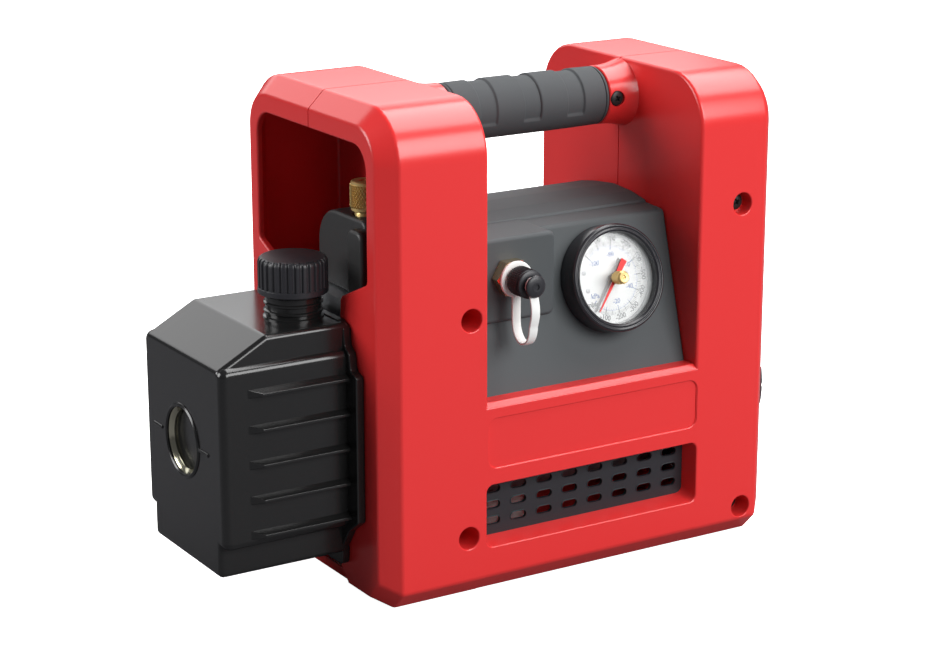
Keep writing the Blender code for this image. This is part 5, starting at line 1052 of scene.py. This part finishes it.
class PUMP_OT_gauge(bpy.types.Operator):
    """Build the vacuum gauge: bezel, printed dial, hands and set knob; the pane stays the imported solid"""

    bl_idname = "pump.gauge"
    bl_label = "Vacuum Gauge"

    def execute(self, context):
        place = gauge_place()
        ring = rounded(
            [
                (0.0229, 0.0043, 0),
                (0.0235, 0.0121, 0.0004),
                (0.0246, 0.0130, 0.0005),
                (0.0254, 0.0123, 0.0004),
                (0.0264, 0.0130, 0.0006),
                (0.0276, 0.0120, 0.0012),
                (0.0276, 0.0004, 0),
                (0.0253, 0.0004, 0),
                (0.0253, 0.0086, 0),
                (0.0237, 0.0086, 0),
                (0.0237, 0.0043, 0),
            ],
            5,
        )
        black = finish_of("black_moulding")
        bezel = placed(lathe(ring, 128, True), place)
        settle("bezel_ring", bezel, black, "housing", ["gauge_bezel"], 40)
        self.print_dial(place)
        self.hands(place)
        pin = lathe([(0, 0.0094), (0.0012, 0.0094), (0.0012, 0.0062), (0, 0.0062)], 24)
        knob = self.knob()
        mesh = placed(merged(pin, knob), place)
        settle("brass_knob", mesh, finish_of("brass"), "set_hand", ["set_knob"], 40)
        return {"FINISHED"}

    def hands(self, place):
        """The black pressure hand under the pane and the red set hand over it."""
        point, shoulder = 0.0200, 0.002
        for name, node, body, slot, angle, level, sizes in (
            ("pressure_blade", "gauge_pointer", "pressure_hand", "dial_black", -127.4, 0.0047,
             (0.0004, 0.0010, -0.0115, 0.0011)),
            ("set_blade", "set_pointer", "set_hand", "dial_red", -127.9, 0.0089,
             (0.0002, 0.0009, -0.0108, 0.0017)),
        ):
            tip, waist, tail, wide = sizes
            outline = [(point, -tip), (point, tip), (shoulder, waist)]
            outline += [(tail, wide), (tail, -wide), (shoulder, -waist)]
            blade = prism(outline, level, level + 0.0004)
            hub = prism(circle(0.0019, 32), level - 0.0001, level + 0.0006)
            turn = Matrix.Rotation(math.radians(angle), 4, "Z")
            mesh = placed(carve(blade, ("UNION", [hub])), place @ turn)
            settle(name, mesh, finish_of(slot), body, [node])

    def knob(self):
        """The set knob: a short knurled cylinder with a chamfered, centre marked end."""
        profile = [(0, 0.0168), (0.0006, 0.0165), (0.0010, 0.0169), (0.0026, 0.0170), (0.0030, 0.0167)]
        profile += [(0.0030, 0.0160), (0.0033, 0.0158), (0.0033, 0.0106), (0.0030, 0.0103), (0.0030, 0.0098)]
        profile += [(0.0024, 0.0095), (0, 0.0095)]
        body = lathe(profile, 48)
        ridge = box((0.0031, -0.00014, 0.0107), (0.00345, 0.00014, 0.0157))
        return merged(body, ring_of(ridge, finish_of("brass"), 36))

    def print_dial(self, place):
        """The printed scales, the units and the two small dial screws."""
        level = 0.00425
        ink = finish_of("dial_black")
        blue = finish_of("dial_blue")
        start, sweep = math.radians(-135), math.radians(270)
        parts = []
        for count, inner, half in ((11, 0.0161, 0.00030), (21, 0.0166, 0.00020), (101, 0.0173, 0.00011)):
            tick = box((inner, -half, level - 0.00004), (0.01887, half, level))
            parts.append(ring_of(tick, ink, count, start, sweep, False))
        for tenth in range(1, 10):
            turn = start + sweep * tenth / 10
            flip = -math.pi / 2 if tenth > 4 else math.pi / 2
            spot = Matrix.Translation((0.0203 * math.cos(turn), 0.0203 * math.sin(turn), level))
            spin = Matrix.Rotation(turn + flip, 4, "Z")
            parts.append(lettering(str(-100 * tenth), 0.0036, spot @ spin, "figures"))
        parts.append(lettering("mbar", 0.0034, Matrix.Translation((-0.0125, -0.0118, level)), "unit"))
        settle("dial_scale", placed(merged(*parts), place), ink)
        parts = []
        for count, inner, half in ((6, 0.0143, 0.00026), (11, 0.0148, 0.00017), (51, 0.0155, 0.00010)):
            tick = box((inner, -half, level - 0.00004), (0.0164, half, level))
            parts.append(ring_of(tick, blue, count, start, sweep, False))
        arc = box((0.01634, -0.00035, level - 0.00004), (0.01654, 0.00035, level))
        parts.append(ring_of(arc, blue, 130, start, sweep, False))
        for tenth in (2, 4, 6, 8, 10):
            turn = start + sweep * tenth / 10
            spot = Matrix.Translation((0.0122 * math.cos(turn), 0.0122 * math.sin(turn), level))
            parts.append(lettering(str(-10 * tenth), 0.0034, spot, "figures"))
        parts.append(lettering("kPa", 0.0036, Matrix.Translation((-0.0105, -0.0078, level)), "unit"))
        settle("dial_inner_scale", placed(merged(*parts), place), blue)
        screw = phillips_screw(0.0012, 0.0007, 0.0006, 0.0003)
        points = [(-0.0155, 0.0046, level - 0.0001), (-0.0145, -0.0046, level - 0.0001)]
        steel = finish_of("steel")
        settle("dial_screws", placed(repeated("points", screw, steel, points), place), steel)


def ribbon(route, half, thick, steps=4):
    """A flat band with rounded sides along (out, up) points, its width across local X."""
    sections = []
    count = len(route)
    for index, (out, up) in enumerate(route):
        before = Vector(route[max(index - 1, 0)])
        after = Vector(route[min(index + 1, count - 1)])
        along = (after - before).normalized()
        side = Vector((-along.y, along.x))
        section = []
        for x, depth in block_outline(-half, half, -thick, thick, 0.9 * thick, steps):
            section.append((x, up + side.y * depth, out + side.x * depth))
        sections.append(section)
    return loft(sections)


class PUMP_OT_intake(bpy.types.Operator):
    """Build the intake fitting, its knurled cap and the milky strap"""

    bl_idname = "pump.intake"
    bl_label = "Intake and Cap"

    def execute(self, context):
        place = intake_place()
        low = PORT_FACE + 0.0003
        top = low + 0.006
        across_flats = 0.0172
        profile = [(0, low - 0.001), (0.0092, low - 0.001), (0.0098, low + 0.0006)]
        profile += [(0.0098, top - 0.0008), (0.0091, top), (0, top)]
        collar = lathe(profile, 96)
        hexagon = circle(across_flats / math.sqrt(3), 6)
        nut = carve(prism(hexagon, low, top + 0.001), ("INTERSECT", [collar]))
        profile = [(0.0028, low - 0.010), (0.0055, low - 0.010), (0.0055, top + 0.0110)]
        profile += [(0.0040, top + 0.0124), (0.0028, top + 0.0124)]
        nose = lathe(profile, 48, True)
        fitting = placed(carve(nut, ("UNION", [nose])), place)
        settle("gold_fitting", fitting, finish_of("pale_brass"), "housing", ["intake_fitting"], 28)
        self.cap(context, place)
        self.strap(place, top)
        return {"FINISHED"}

    def cap(self, context, place):
        """The screw cap with a ridged skirt, a groove and a domed button."""
        low = PORT_FACE + 0.0095
        top = low + 0.0115
        neck = top + 0.0030
        button = neck + 0.0022
        profile = [(0, top - 0.003), (0.0059, top - 0.003), (0.0059, low), (0.0066, low)]
        profile += [(0.0071, low + 0.0004), (0.0071, top - 0.0022)]
        profile += [(0.0066, top - 0.0020), (0.0066, top - 0.0015)]
        profile += [(0.0072, top - 0.0013), (0.0072, top - 0.0005)]
        profile += [(0.0066, top), (0.0040, top), (0.0040, neck), (0.0050, neck), (0.0056, neck + 0.0005)]
        profile += [(0.0056 * math.cos(a), neck + 0.0009 + 0.0013 * math.sin(a)) for a in quarter(6)]
        profile[-1:] = [(0.0024, button), (0.0019, button - 0.0006), (0, button - 0.0008)]
        body = lathe(profile, 64)
        ridge = hull([(x, y, z) for x, wide in ((0.0070, 0.00034), (0.0074, 0.00012)) for y in (-wide, wide)
                      for z in (low + 0.0006, top - 0.0024)])
        black = finish_of("black_matte")
        ridges = ring_of(ridge, black, context.scene.pump_sizes.cap_ridges)
        mesh = placed(merged(body, ridges), place)
        settle("port_cap", mesh, black, "intake_cap_turn", ["intake_cap"], 40)

    def strap(self, place, top):
        """The strap: a ring on the nose, a loop that hangs, and an eye behind the cap's button."""
        back, fore = top + 0.0012, PORT_FACE + 0.0095 + 0.0115 + 0.0016 + 0.0005
        ring = lathe(rounded([(0.0060, back - 0.0009, 0.0003), (0.0092, back - 0.0009, 0.0006),
                              (0.0092, back + 0.0009, 0.0006), (0.0060, back + 0.0009, 0.0003)], 3), 48, True)
        eye = lathe(rounded([(0.0043, fore - 0.0005, 0.0002), (0.0047, fore - 0.0005, 0.0001),
                             (0.0047, fore + 0.0005, 0.0001), (0.0043, fore + 0.0005, 0.0002)], 3), 40, True)
        middle, reach = (back + fore) / 2, (fore - back) / 2
        bend = -0.031 + 1.3 * reach
        route = [(back, -0.0082 + (bend + 0.0082) * step / 8) for step in range(8)]
        for step in range(25):
            turn = math.pi + math.pi * step / 24
            route.append((middle + reach * math.cos(turn), bend + 1.3 * reach * math.sin(turn)))
        for step in range(1, 13):
            part = step / 12
            route.append((fore + 0.0018 * math.sin(math.pi * part), bend + (-0.0050 - bend) * part))
        mesh = carve(ring, ("UNION", [ribbon(route, 0.0025, 0.00055), eye]))
        milky = finish_of("strap_plastic")
        settle("milky_strap", placed(mesh, place), milky, "housing", ["cap_strap"], 50)


class PUMP_OT_manifold(bpy.types.Operator):
    """Build the manifold block and the knurled gas ballast knob"""

    bl_idname = "pump.manifold"
    bl_label = "Manifold and Gas Ballast"

    def execute(self, context):
        block = [(-0.034, 0.1503, 0.003), (0.015, 0.1503, 0.003)]
        block += [(0.015, 0.1895, 0.018), (-0.034, 0.1895, 0.0045)]
        knuckle = [(-0.040, 0.1503, 0.003), (-0.025, 0.1503, 0.003)]
        knuckle += [(-0.025, 0.186, 0.005), (-0.040, 0.186, 0.005)]
        shape = placed(pillow(rounded(block, 8), -0.104, -0.0762, 0.0020, 4, True), ALONG_X)
        front = placed(pillow(rounded(knuckle, 8), -0.110, -0.094, 0.0022, 4, True), ALONG_X)
        well = Matrix.Translation((BALLAST[0], BALLAST[1], 0))
        profile = [(0, 0.180), (0.0062, 0.180), (0.0062, 0.1885)]
        profile += [(0.0070, 0.1900), (0.0070, 0.192), (0, 0.192)]
        hole = lathe(profile, 48)
        mesh = carve(shape, ("UNION", [front]), ("DIFFERENCE", [placed(hole, well)]))
        casting = finish_of("black_casting")
        settle("manifold_block", mesh, casting, "housing", ["intake_manifold"], 35, True)
        profile = [(0.0018, 0.1795), (0.0052, 0.1795), (0.0052, 0.1900), (0.0048, 0.1911), (0.0018, 0.1911)]
        neck = lathe(profile, 48, True)
        brass = finish_of("brass")
        settle("ballast_neck", placed(neck, well), brass, "housing", ["ballast_valve"])
        self.knob(context, well, brass)
        return {"FINISHED"}

    def knob(self, context, well, brass):
        """The knob: a diamond knurled cylinder between two plain rims."""
        low, high, radius = 0.1915, 0.2065, 0.0072
        rim = 0.0070
        core = radius - 0.0002
        profile = [(0, low), (0.0066, low), (rim, low + 0.0004), (rim, low + 0.0014), (core, low + 0.0018)]
        profile += [(core, high - 0.0018), (rim, high - 0.0014), (rim, high - 0.0005), (0.0064, high)]
        profile += [(0.0030, high), (0.0026, high - 0.0006), (0, high - 0.0006)]
        body = lathe(profile, 64)
        sides = []
        count = context.scene.pump_sizes.knurl_ridges
        for hand in (-1, 1):
            sections = []
            for step in range(9):
                z = low + 0.0018 + (high - low - 0.0036) * step / 8
                turn = hand * math.radians(52) * step / 8
                spin = Matrix.Rotation(turn, 3, "Z")
                ring = [(radius - 0.0004, -0.0004), (radius + 0.0003, 0.0), (radius - 0.0004, 0.0004)]
                sections.append([spin @ Vector((x, y, 0)) + Vector((0, 0, z)) for x, y in ring])
            sides.append(ring_of(loft(sections), brass, count))
        mesh = placed(merged(body, *sides), well)
        settle("knurled_knob", mesh, brass, "ballast_knob_turn", ["ballast_knob"], 30)


class PUMP_OT_tank(bpy.types.Operator):
    """Build the ribbed oil tank with its flange, neck and level marks"""

    bl_idname = "pump.tank"
    bl_label = "Oil Tank"

    def execute(self, context):
        black = finish_of("tank_black")
        shoulder = [(TANK_END, 0.100, 0.0028), (TANK_ROOT, 0.100, 0.0028), (TANK_ROOT, 0.1428, 0.0028)]
        shoulder += [(-0.1623, 0.1428, 0.0045), (TANK_END, 0.1286, 0.0030)]
        waist = [(TANK_END, 0.0385, 0.0044), (TANK_ROOT, 0.0385, 0.0044)]
        waist += [(TANK_ROOT, 0.1300, 0.0044), (TANK_END, 0.1300, 0.0046)]
        foot = [(TANK_END, 0.0230, 0.0030), (TANK_ROOT, 0.0230, 0.0030)]
        foot += [(TANK_ROOT, 0.0450, 0.0030), (TANK_END, 0.0450, 0.0030)]
        blocks = []
        sizes = ((waist, 0.0435, 0.0040), (shoulder, 0.0405, 0.0026), (foot, 0.0373, 0.0028))
        for outline, half, edge in sizes:
            blocks.append(placed(pillow(rounded(outline), -half, half, edge, 5, True), TO_FRONT))
        body = carve(blocks[0], ("UNION", blocks[1:]))
        flange_half = [
            (0.0362, 0.0165, 0.002), (0.0367, 0.0264, 0.002), (0.0438, 0.0367, 0.003),
            (0.0533, 0.0436, 0.002), (0.0533, 0.1185, 0.002), (0.0475, 0.1203, 0.002),
            (0.0459, 0.1288, 0.002), (0.0419, 0.1315, 0.002),
            (0.0408, 0.1405, 0.002), (0.0345, 0.1433, 0.003),
        ]
        outline = rounded(both_sides(flange_half), 4)
        flange = placed(pillow(outline, -0.121, -0.1165, 0.0007, 3, True), ALONG_X)
        rib_end = -0.1190
        rib_points = [(x, 0.0415, z) for z in (0.0, -0.0057) for x in (-0.1775, rib_end)]
        rib_points += [(x, 0.0475, z) for z in (-0.0026, -0.0040) for x in (-0.1680, rib_end)]
        rib = softened(hull(rib_points), 0.0006, 3)
        ribs = []
        for side in (1, -1):
            mirror = Matrix.Diagonal((1, side, 1, 1))
            points = [(0, 0, 0.1194 - number * 0.01785) for number in range(5)]
            mesh = repeated("points", placed(rib.copy(), mirror), black, points)
            if side < 0:
                mesh.flip_normals()
            ribs.append(mesh)
        neck_place = Matrix.Translation((*FILLER, 0))
        core, crest = 0.0138, 0.01465
        profile = [(0.0105, 0.138), (0.0150, 0.138), (0.0150, 0.1434), (core, 0.1438)]
        for level in (0.1462, 0.1502):
            profile += [(core, level - 0.0009), (crest, level - 0.0004)]
            profile += [(crest, level + 0.0004), (core, level + 0.0009)]
        profile += [(core, 0.1535), (0.0105, 0.1535)]
        neck = placed(lathe(profile, 72, True), neck_place)
        marks = []
        for low, high in ((0.0234, 0.0338), (-0.0286, -0.0170)):
            outline = block_outline(low, high, 0.0829, 0.0849, 0.0009, 3)
            marks.append(placed(pillow(outline, -0.1893, -0.1875, 0.0007, 3, True), ALONG_X))
        cuts = [placed(prism(circle(0.0172, 72), -0.195, -0.184), sight_place())]
        cuts.append(placed(prism(circle(0.0105, 48), 0.139, 0.150), neck_place))
        body = carve(body, ("DIFFERENCE", cuts))
        mesh = merged(body, flange, neck, *ribs, *marks)
        settle("black_tank", mesh, black, "housing", ["oil_tank"], 32, True)
        return {"FINISHED"}


class PUMP_OT_tank_fittings(bpy.types.Operator):
    """Build the sight glass with the oil behind it, and the fluted oil cap"""

    bl_idname = "pump.tank_fittings"
    bl_label = "Sight Glass and Oil Cap"

    def execute(self, context):
        place = sight_place()
        face = TANK_END
        corners = [(0.0168, face - 0.0004, 0.0003), (0.0178, face - 0.0012, 0.0005)]
        corners += [(0.0190, face - 0.0003, 0.0005), (0.0190, face + 0.0006, 0), (0.0168, face + 0.0006, 0)]
        bead = lathe(rounded(corners, 4), 96, True)
        black = finish_of("tank_black")
        settle("sight_bead", placed(bead, place), black)
        profile = [(0.0171, face + 0.0002), (0.0158, face + 0.0012)]
        for turn in range(3):
            level = face + 0.0022 + 0.0024 * turn
            profile += [(0.0152, level), (0.0149, level + 0.0003)]
            profile += [(0.0149, level + 0.0012), (0.0153, level + 0.0016)]
        bore = lathe(profile + [(0.0151, face + 0.0108), (0.0172, face + 0.0108)], 96, True)
        metal = finish_of("bore_metal")
        settle("sight_bore", placed(bore, place), metal, "housing", ["sight_ring"])
        pane = pillow(circle(0.0147, 96), face + 0.0074, face + 0.0086, 0.0003, 2, True)
        glass = finish_of("sight_glass")
        settle("sight_pane", placed(pane, place), glass, "housing", ["sight_glass"])
        oil_level = 0.002
        oil = [(x, y) for x, y in circle(0.0146, 96) if y < oil_level]
        pool = prism(oil, face + 0.0088, face + 0.0104)
        settle("oil_behind_glass", placed(pool, place), finish_of("oil"))
        # A dark disc just behind the oil: painted shade standing for the unlit inside of the tank.
        back = prism(circle(0.0146, 64), face + 0.0105, face + 0.0109)
        settle("tank_inside", placed(back, place), finish_of("black_casting"))
        self.oil_cap(context)
        return {"FINISHED"}

    def oil_cap(self, context):
        """The oil cap: a fluted crown on a plain rim, with its plug below."""
        flutes = context.scene.pump_sizes.cap_flutes
        steps = flutes * 10

        def teeth(turn, outer, shrink):
            phase = (turn * flutes / (2 * math.pi)) % 1.0
            notch = smoothstep(0.10, 0.24, phase) - smoothstep(0.50, 0.64, phase)
            return outer - shrink - 0.0009 * notch

        low, high, radius_out = CAP_LOW, CAP_HIGH, 0.0172
        sections = []
        levels = [(low + 0.003, 0.0)]
        levels += [(high - 0.0028 * (1 - math.sin(a)), 0.0022 * (1 - math.cos(a))) for a in quarter(6)]
        for height, shrink in levels:
            section = []
            for step in range(steps):
                turn = 2 * math.pi * step / steps
                radius = teeth(turn, radius_out, shrink) if shrink < 0.0012 else radius_out - shrink
                section.append((radius * math.cos(turn), radius * math.sin(turn), height))
            sections.append(section)
        crown = loft(sections)
        profile = [(0, low - 0.009), (0.0098, low - 0.009), (0.0098, low + 0.0002), (0.0150, low + 0.0002)]
        profile += [(0.0168, low), (0.01735, low + 0.0005), (0.01735, low + 0.0028)]
        profile += [(0.0170, low + 0.0032), (0, low + 0.0032)]
        rim = lathe(profile, 96)
        black = finish_of("black_matte")
        mesh = placed(merged(crown, rim), Matrix.Translation((*FILLER, 0)))
        settle("fluted_cap", mesh, black, "filler_cap_turn", ["oil_fill_cap"], 40)


class PUMP_OT_fan_cover(bpy.types.Operator):
    """Build the domed fan cover with its radial slots"""

    bl_idname = "pump.fan_cover"
    bl_label = "Fan Cover"

    def execute(self, context):
        outer = [(0.0485, 0.080), (0.0485, 0.1265)]
        for a in quarter(12)[1:]:
            outer.append((0.026 + 0.0225 * math.cos(a), 0.1265 + 0.016 * math.sin(a)))
        outer += [(0.0110, 0.1425), (0.0104, 0.1419), (0, 0.1419)]
        inner = [(0, 0.1399), (0.026, 0.1405)]
        for a in reversed(quarter(12)[:-1]):
            inner.append((0.026 + 0.0205 * math.cos(a), 0.1265 + 0.014 * math.sin(a)))
        inner.append((0.0465, 0.080))
        shell = lathe(outer + inner, 96, True)
        black = finish_of("black_matte")
        slot = box((0.0135, -0.0016, 0.1300), (0.0450, 0.0016, 0.1445))
        slots = ring_of(slot, black, context.scene.pump_sizes.fan_slots)
        mesh = placed(carve(shell, ("DIFFERENCE", [slots])), shaft_place())
        settle("domed_fan_cover", mesh, black, "housing", ["fan_cover"], 35)
        return {"FINISHED"}


class PUMP_OT_grilles(bpy.types.Operator):
    """Build the slotted grilles behind the ventilation windows"""

    bl_idname = "pump.grilles"
    bl_label = "Grilles"

    def execute(self, context):
        black = finish_of("black_matte")
        near = HALF_DEPTH - GRILLE_SETBACK
        middle = (0.0056, 0.0343 + SLOT_PITCH[1])
        for name, turn in (("front_grille", TO_FRONT), ("rear_grille", TO_BACK)):
            way = 1 if turn is TO_FRONT else -1
            centre = Matrix.Translation((way * middle[0], middle[1], 0))
            mouth = block_outline(-0.0046, 0.0046, -0.00205, 0.00205, 0.0020, 5)
            around = block_outline(-0.0050, 0.0050, -0.00245, 0.00245, 0.0024, 5)
            slot = prism(mouth, near - 0.003, near + 0.003)
            rim = pillow(around, near - 0.001, near + 0.0003, 0.0002, 2)
            slots = placed(rows_of(slot, black, 8, 3, *SLOT_PITCH), centre)
            rims = placed(rows_of(rim, black, 8, 3, *SLOT_PITCH), centre)
            low, high = sorted((way * -0.0572, way * 0.0690))
            plate = prism([(low, 0.0262), (high, 0.0262), (high, 0.0562), (low, 0.0562)], near - 0.0016, near)
            mesh = placed(carve(plate, ("UNION", [rims]), ("DIFFERENCE", [slots])), turn)
            settle(f"slotted_{name}", mesh, black, "housing", [name], 35)
        return {"FINISHED"}


class PUMP_OT_rear_fittings(bpy.types.Operator):
    """Build the rocker switch and the mains inlet on the back of the cover"""

    bl_idname = "pump.rear_fittings"
    bl_label = "Switch and Inlet"

    def execute(self, context):
        black = finish_of("black_matte")
        place = back_place(SWITCH_X)
        rim = pillow(block_outline(-0.017, 0.017, -0.013, 0.013, 0.002), 0.0003, 0.0020, 0.0008, 3)
        body = prism(block_outline(-0.0147, 0.0147, -0.0107, 0.0107, 0.001), -0.016, 0.001)
        well = prism(block_outline(-0.0122, 0.0122, -0.0082, 0.0082, 0.0006), -0.012, 0.004)
        mesh = carve(rim, ("UNION", [body]), ("DIFFERENCE", [well]))
        settle("switch_surround", placed(mesh, place), black, "housing", ["switch_frame"])
        corners = [(-0.0066, 0.0032, 0.0006), (0, 0.0018, 0.004), (0.0065, 0.0022, 0.0006)]
        corners += [(0.0034, -0.006, 0.001), (-0.0034, -0.006, 0.001)]
        rocker = placed(pillow(rounded(corners, 5), -0.0115, 0.0115, 0.0005, 3, True), ALONG_X)
        gloss = finish_of("black_moulding")
        settle("rocker_button", placed(rocker, place), gloss, "rocker", ["switch_rocker"])
        place = back_place(INLET_X)
        rim = pillow(block_outline(-0.026, 0.026, -0.016, 0.016, 0.004), 0.0003, 0.0020, 0.0008, 3)
        body = prism(block_outline(-0.0237, 0.0237, -0.0137, 0.0137, 0.003), -0.020, 0.001)
        corners = [(-0.0135, -0.0085, 0.002), (0.0135, -0.0085, 0.002), (0.0135, 0.004, 0.002)]
        corners += [(0.0085, 0.0085, 0.001), (-0.0085, 0.0085, 0.001), (-0.0135, 0.004, 0.002)]
        socket = rounded(corners, 4)
        mesh = carve(rim, ("UNION", [body]), ("DIFFERENCE", [prism(socket, -0.016, 0.004)]))
        settle("inlet_surround", placed(mesh, place), black, "housing", ["mains_inlet"])
        pins = []
        for x, y in ((-0.007, -0.001), (0, 0.003), (0.007, -0.001)):
            blade = softened(box((x - 0.001, y - 0.002, -0.017), (x + 0.001, y + 0.002, -0.005)), 0.0004, 2)
            pins.append(blade)
        settle("inlet_pins", placed(merged(*pins), place), finish_of("steel"))
        return {"FINISHED"}


class PUMP_OT_finishes(bpy.types.Operator):
    """Make every material, and give each solid that stays in view its own"""

    bl_idname = "pump.finishes"
    bl_label = "Solid Finishes"

    def execute(self, context):
        make_materials(context.scene.pump_finish)
        slots = {part["node"]: part["material_slot"] for part in frame["record"]["subparts"]}
        for name, obj in frame["nodes"].items():
            material = finish_of(slots[name])
            obj.data.materials.clear()
            obj.data.materials.append(material)
        return {"FINISHED"}


class PUMP_OT_stage(bpy.types.Operator):
    """Set the camera, the pale floor and the soft lamps"""

    bl_idname = "pump.stage"
    bl_label = "Stage"

    def execute(self, context):
        studio = context.scene.pump_studio
        camera = bpy.data.objects.new("camera", bpy.data.cameras.new("camera"))
        camera.location = studio.place
        camera.rotation_euler = (math.radians(90) - studio.lean, 0, -studio.heading)
        camera.data.lens = studio.lens
        camera.data.sensor_width = 36.0
        camera.data.clip_start = 0.05
        context.scene.collection.objects.link(camera)
        context.scene.camera = camera
        floor = linked(prism(block_outline(-4, 4, -4, 4, 0.5), -0.02, -0.0005), "floor")
        pale, tree, shader = principled("pale_floor", Roughness=0.9)
        seen = tree.nodes.new("ShaderNodeLightPath").outputs["Is Camera Ray"]
        blend_of(tree, seen, (0.12, 0.12, 0.13), (0.95, 0.95, 0.95), shader.inputs["Base Color"])
        shader.inputs["Emission Color"].default_value = (1, 1, 1, 1)
        tree.links.new(seen, shader.inputs["Emission Strength"])
        floor.data.materials.append(pale)
        world = bpy.data.worlds.new("studio")
        world.use_nodes = True
        sky = world.node_tree
        seen = sky.nodes.new("ShaderNodeLightPath").outputs["Is Camera Ray"]
        blend_of(sky, seen, (0.10, 0.102, 0.11), (1, 1, 1), sky.nodes["Background"].inputs["Color"])
        context.scene.world = world
        context.scene.view_settings.view_transform = "Standard"
        lamps = (
            ("front_softbox", (0.55, -1.75, 1.05), (1.6, 1.1), 47),
            ("top_softbox", (0.70, 0.05, 1.50), (1.5, 0.9), 30),
            ("back_softbox", (0.3, 1.9, 1.20), (2.6, 1.2), 18),
            ("left_softbox", (-1.7, 0.75, 0.9), (1.0, 1.0), 26),
        )
        for name, place, size, power in lamps:
            light = bpy.data.lights.new(name, "AREA")
            light.shape = "RECTANGLE"
            light.size, light.size_y = size
            light.energy = power
            lamp = bpy.data.objects.new(name, light)
            lamp.location = place
            aim = Vector((0, 0, 0.12)) - Vector(place)
            lamp.rotation_euler = aim.to_track_quat("-Z", "Y").to_euler()
            context.scene.collection.objects.link(lamp)
        return {"FINISHED"}


class PUMP_PT_panel(bpy.types.Panel):
    """The pump's pieces and settings"""

    bl_idname = "PUMP_PT_panel"
    bl_label = "Vacuum Pump"
    bl_space_type = "VIEW_3D"
    bl_region_type = "UI"
    bl_category = "Pump"

    def draw(self, context):
        layout = self.layout
        for group in (context.scene.pump_finish, context.scene.pump_sizes, context.scene.pump_studio):
            for label in group.bl_rna.properties.keys():
                if label not in ("rna_type", "name"):
                    layout.prop(group, label)
        for operator in OPERATORS:
            layout.operator(operator.bl_idname)


GROUP_CLASSES = (PumpFinish, PumpSizes, StudioSettings)
OPERATORS = (
    PUMP_OT_stage,
    PUMP_OT_finishes,
    PUMP_OT_housing,
    PUMP_OT_screws,
    PUMP_OT_handle,
    PUMP_OT_cover,
    PUMP_OT_gauge,
    PUMP_OT_intake,
    PUMP_OT_manifold,
    PUMP_OT_tank,
    PUMP_OT_tank_fittings,
    PUMP_OT_fan_cover,
    PUMP_OT_grilles,
    PUMP_OT_rear_fittings,
)


def register():
    for group in (*GROUP_CLASSES, *OPERATORS, PUMP_PT_panel):
        bpy.utils.register_class(group)
    bpy.types.Scene.pump_finish = PointerProperty(type=PumpFinish)
    bpy.types.Scene.pump_sizes = PointerProperty(type=PumpSizes)
    bpy.types.Scene.pump_studio = PointerProperty(type=StudioSettings)


def unregister():
    del bpy.types.Scene.pump_studio
    del bpy.types.Scene.pump_sizes
    del bpy.types.Scene.pump_finish
    for group in reversed((*GROUP_CLASSES, *OPERATORS, PUMP_PT_panel)):
        bpy.utils.unregister_class(group)


def main():
    register()
    for operator in OPERATORS:
        family, name = operator.bl_idname.split(".")
        getattr(getattr(bpy.ops, family), name)()


if __name__ == "__main__":
    main()
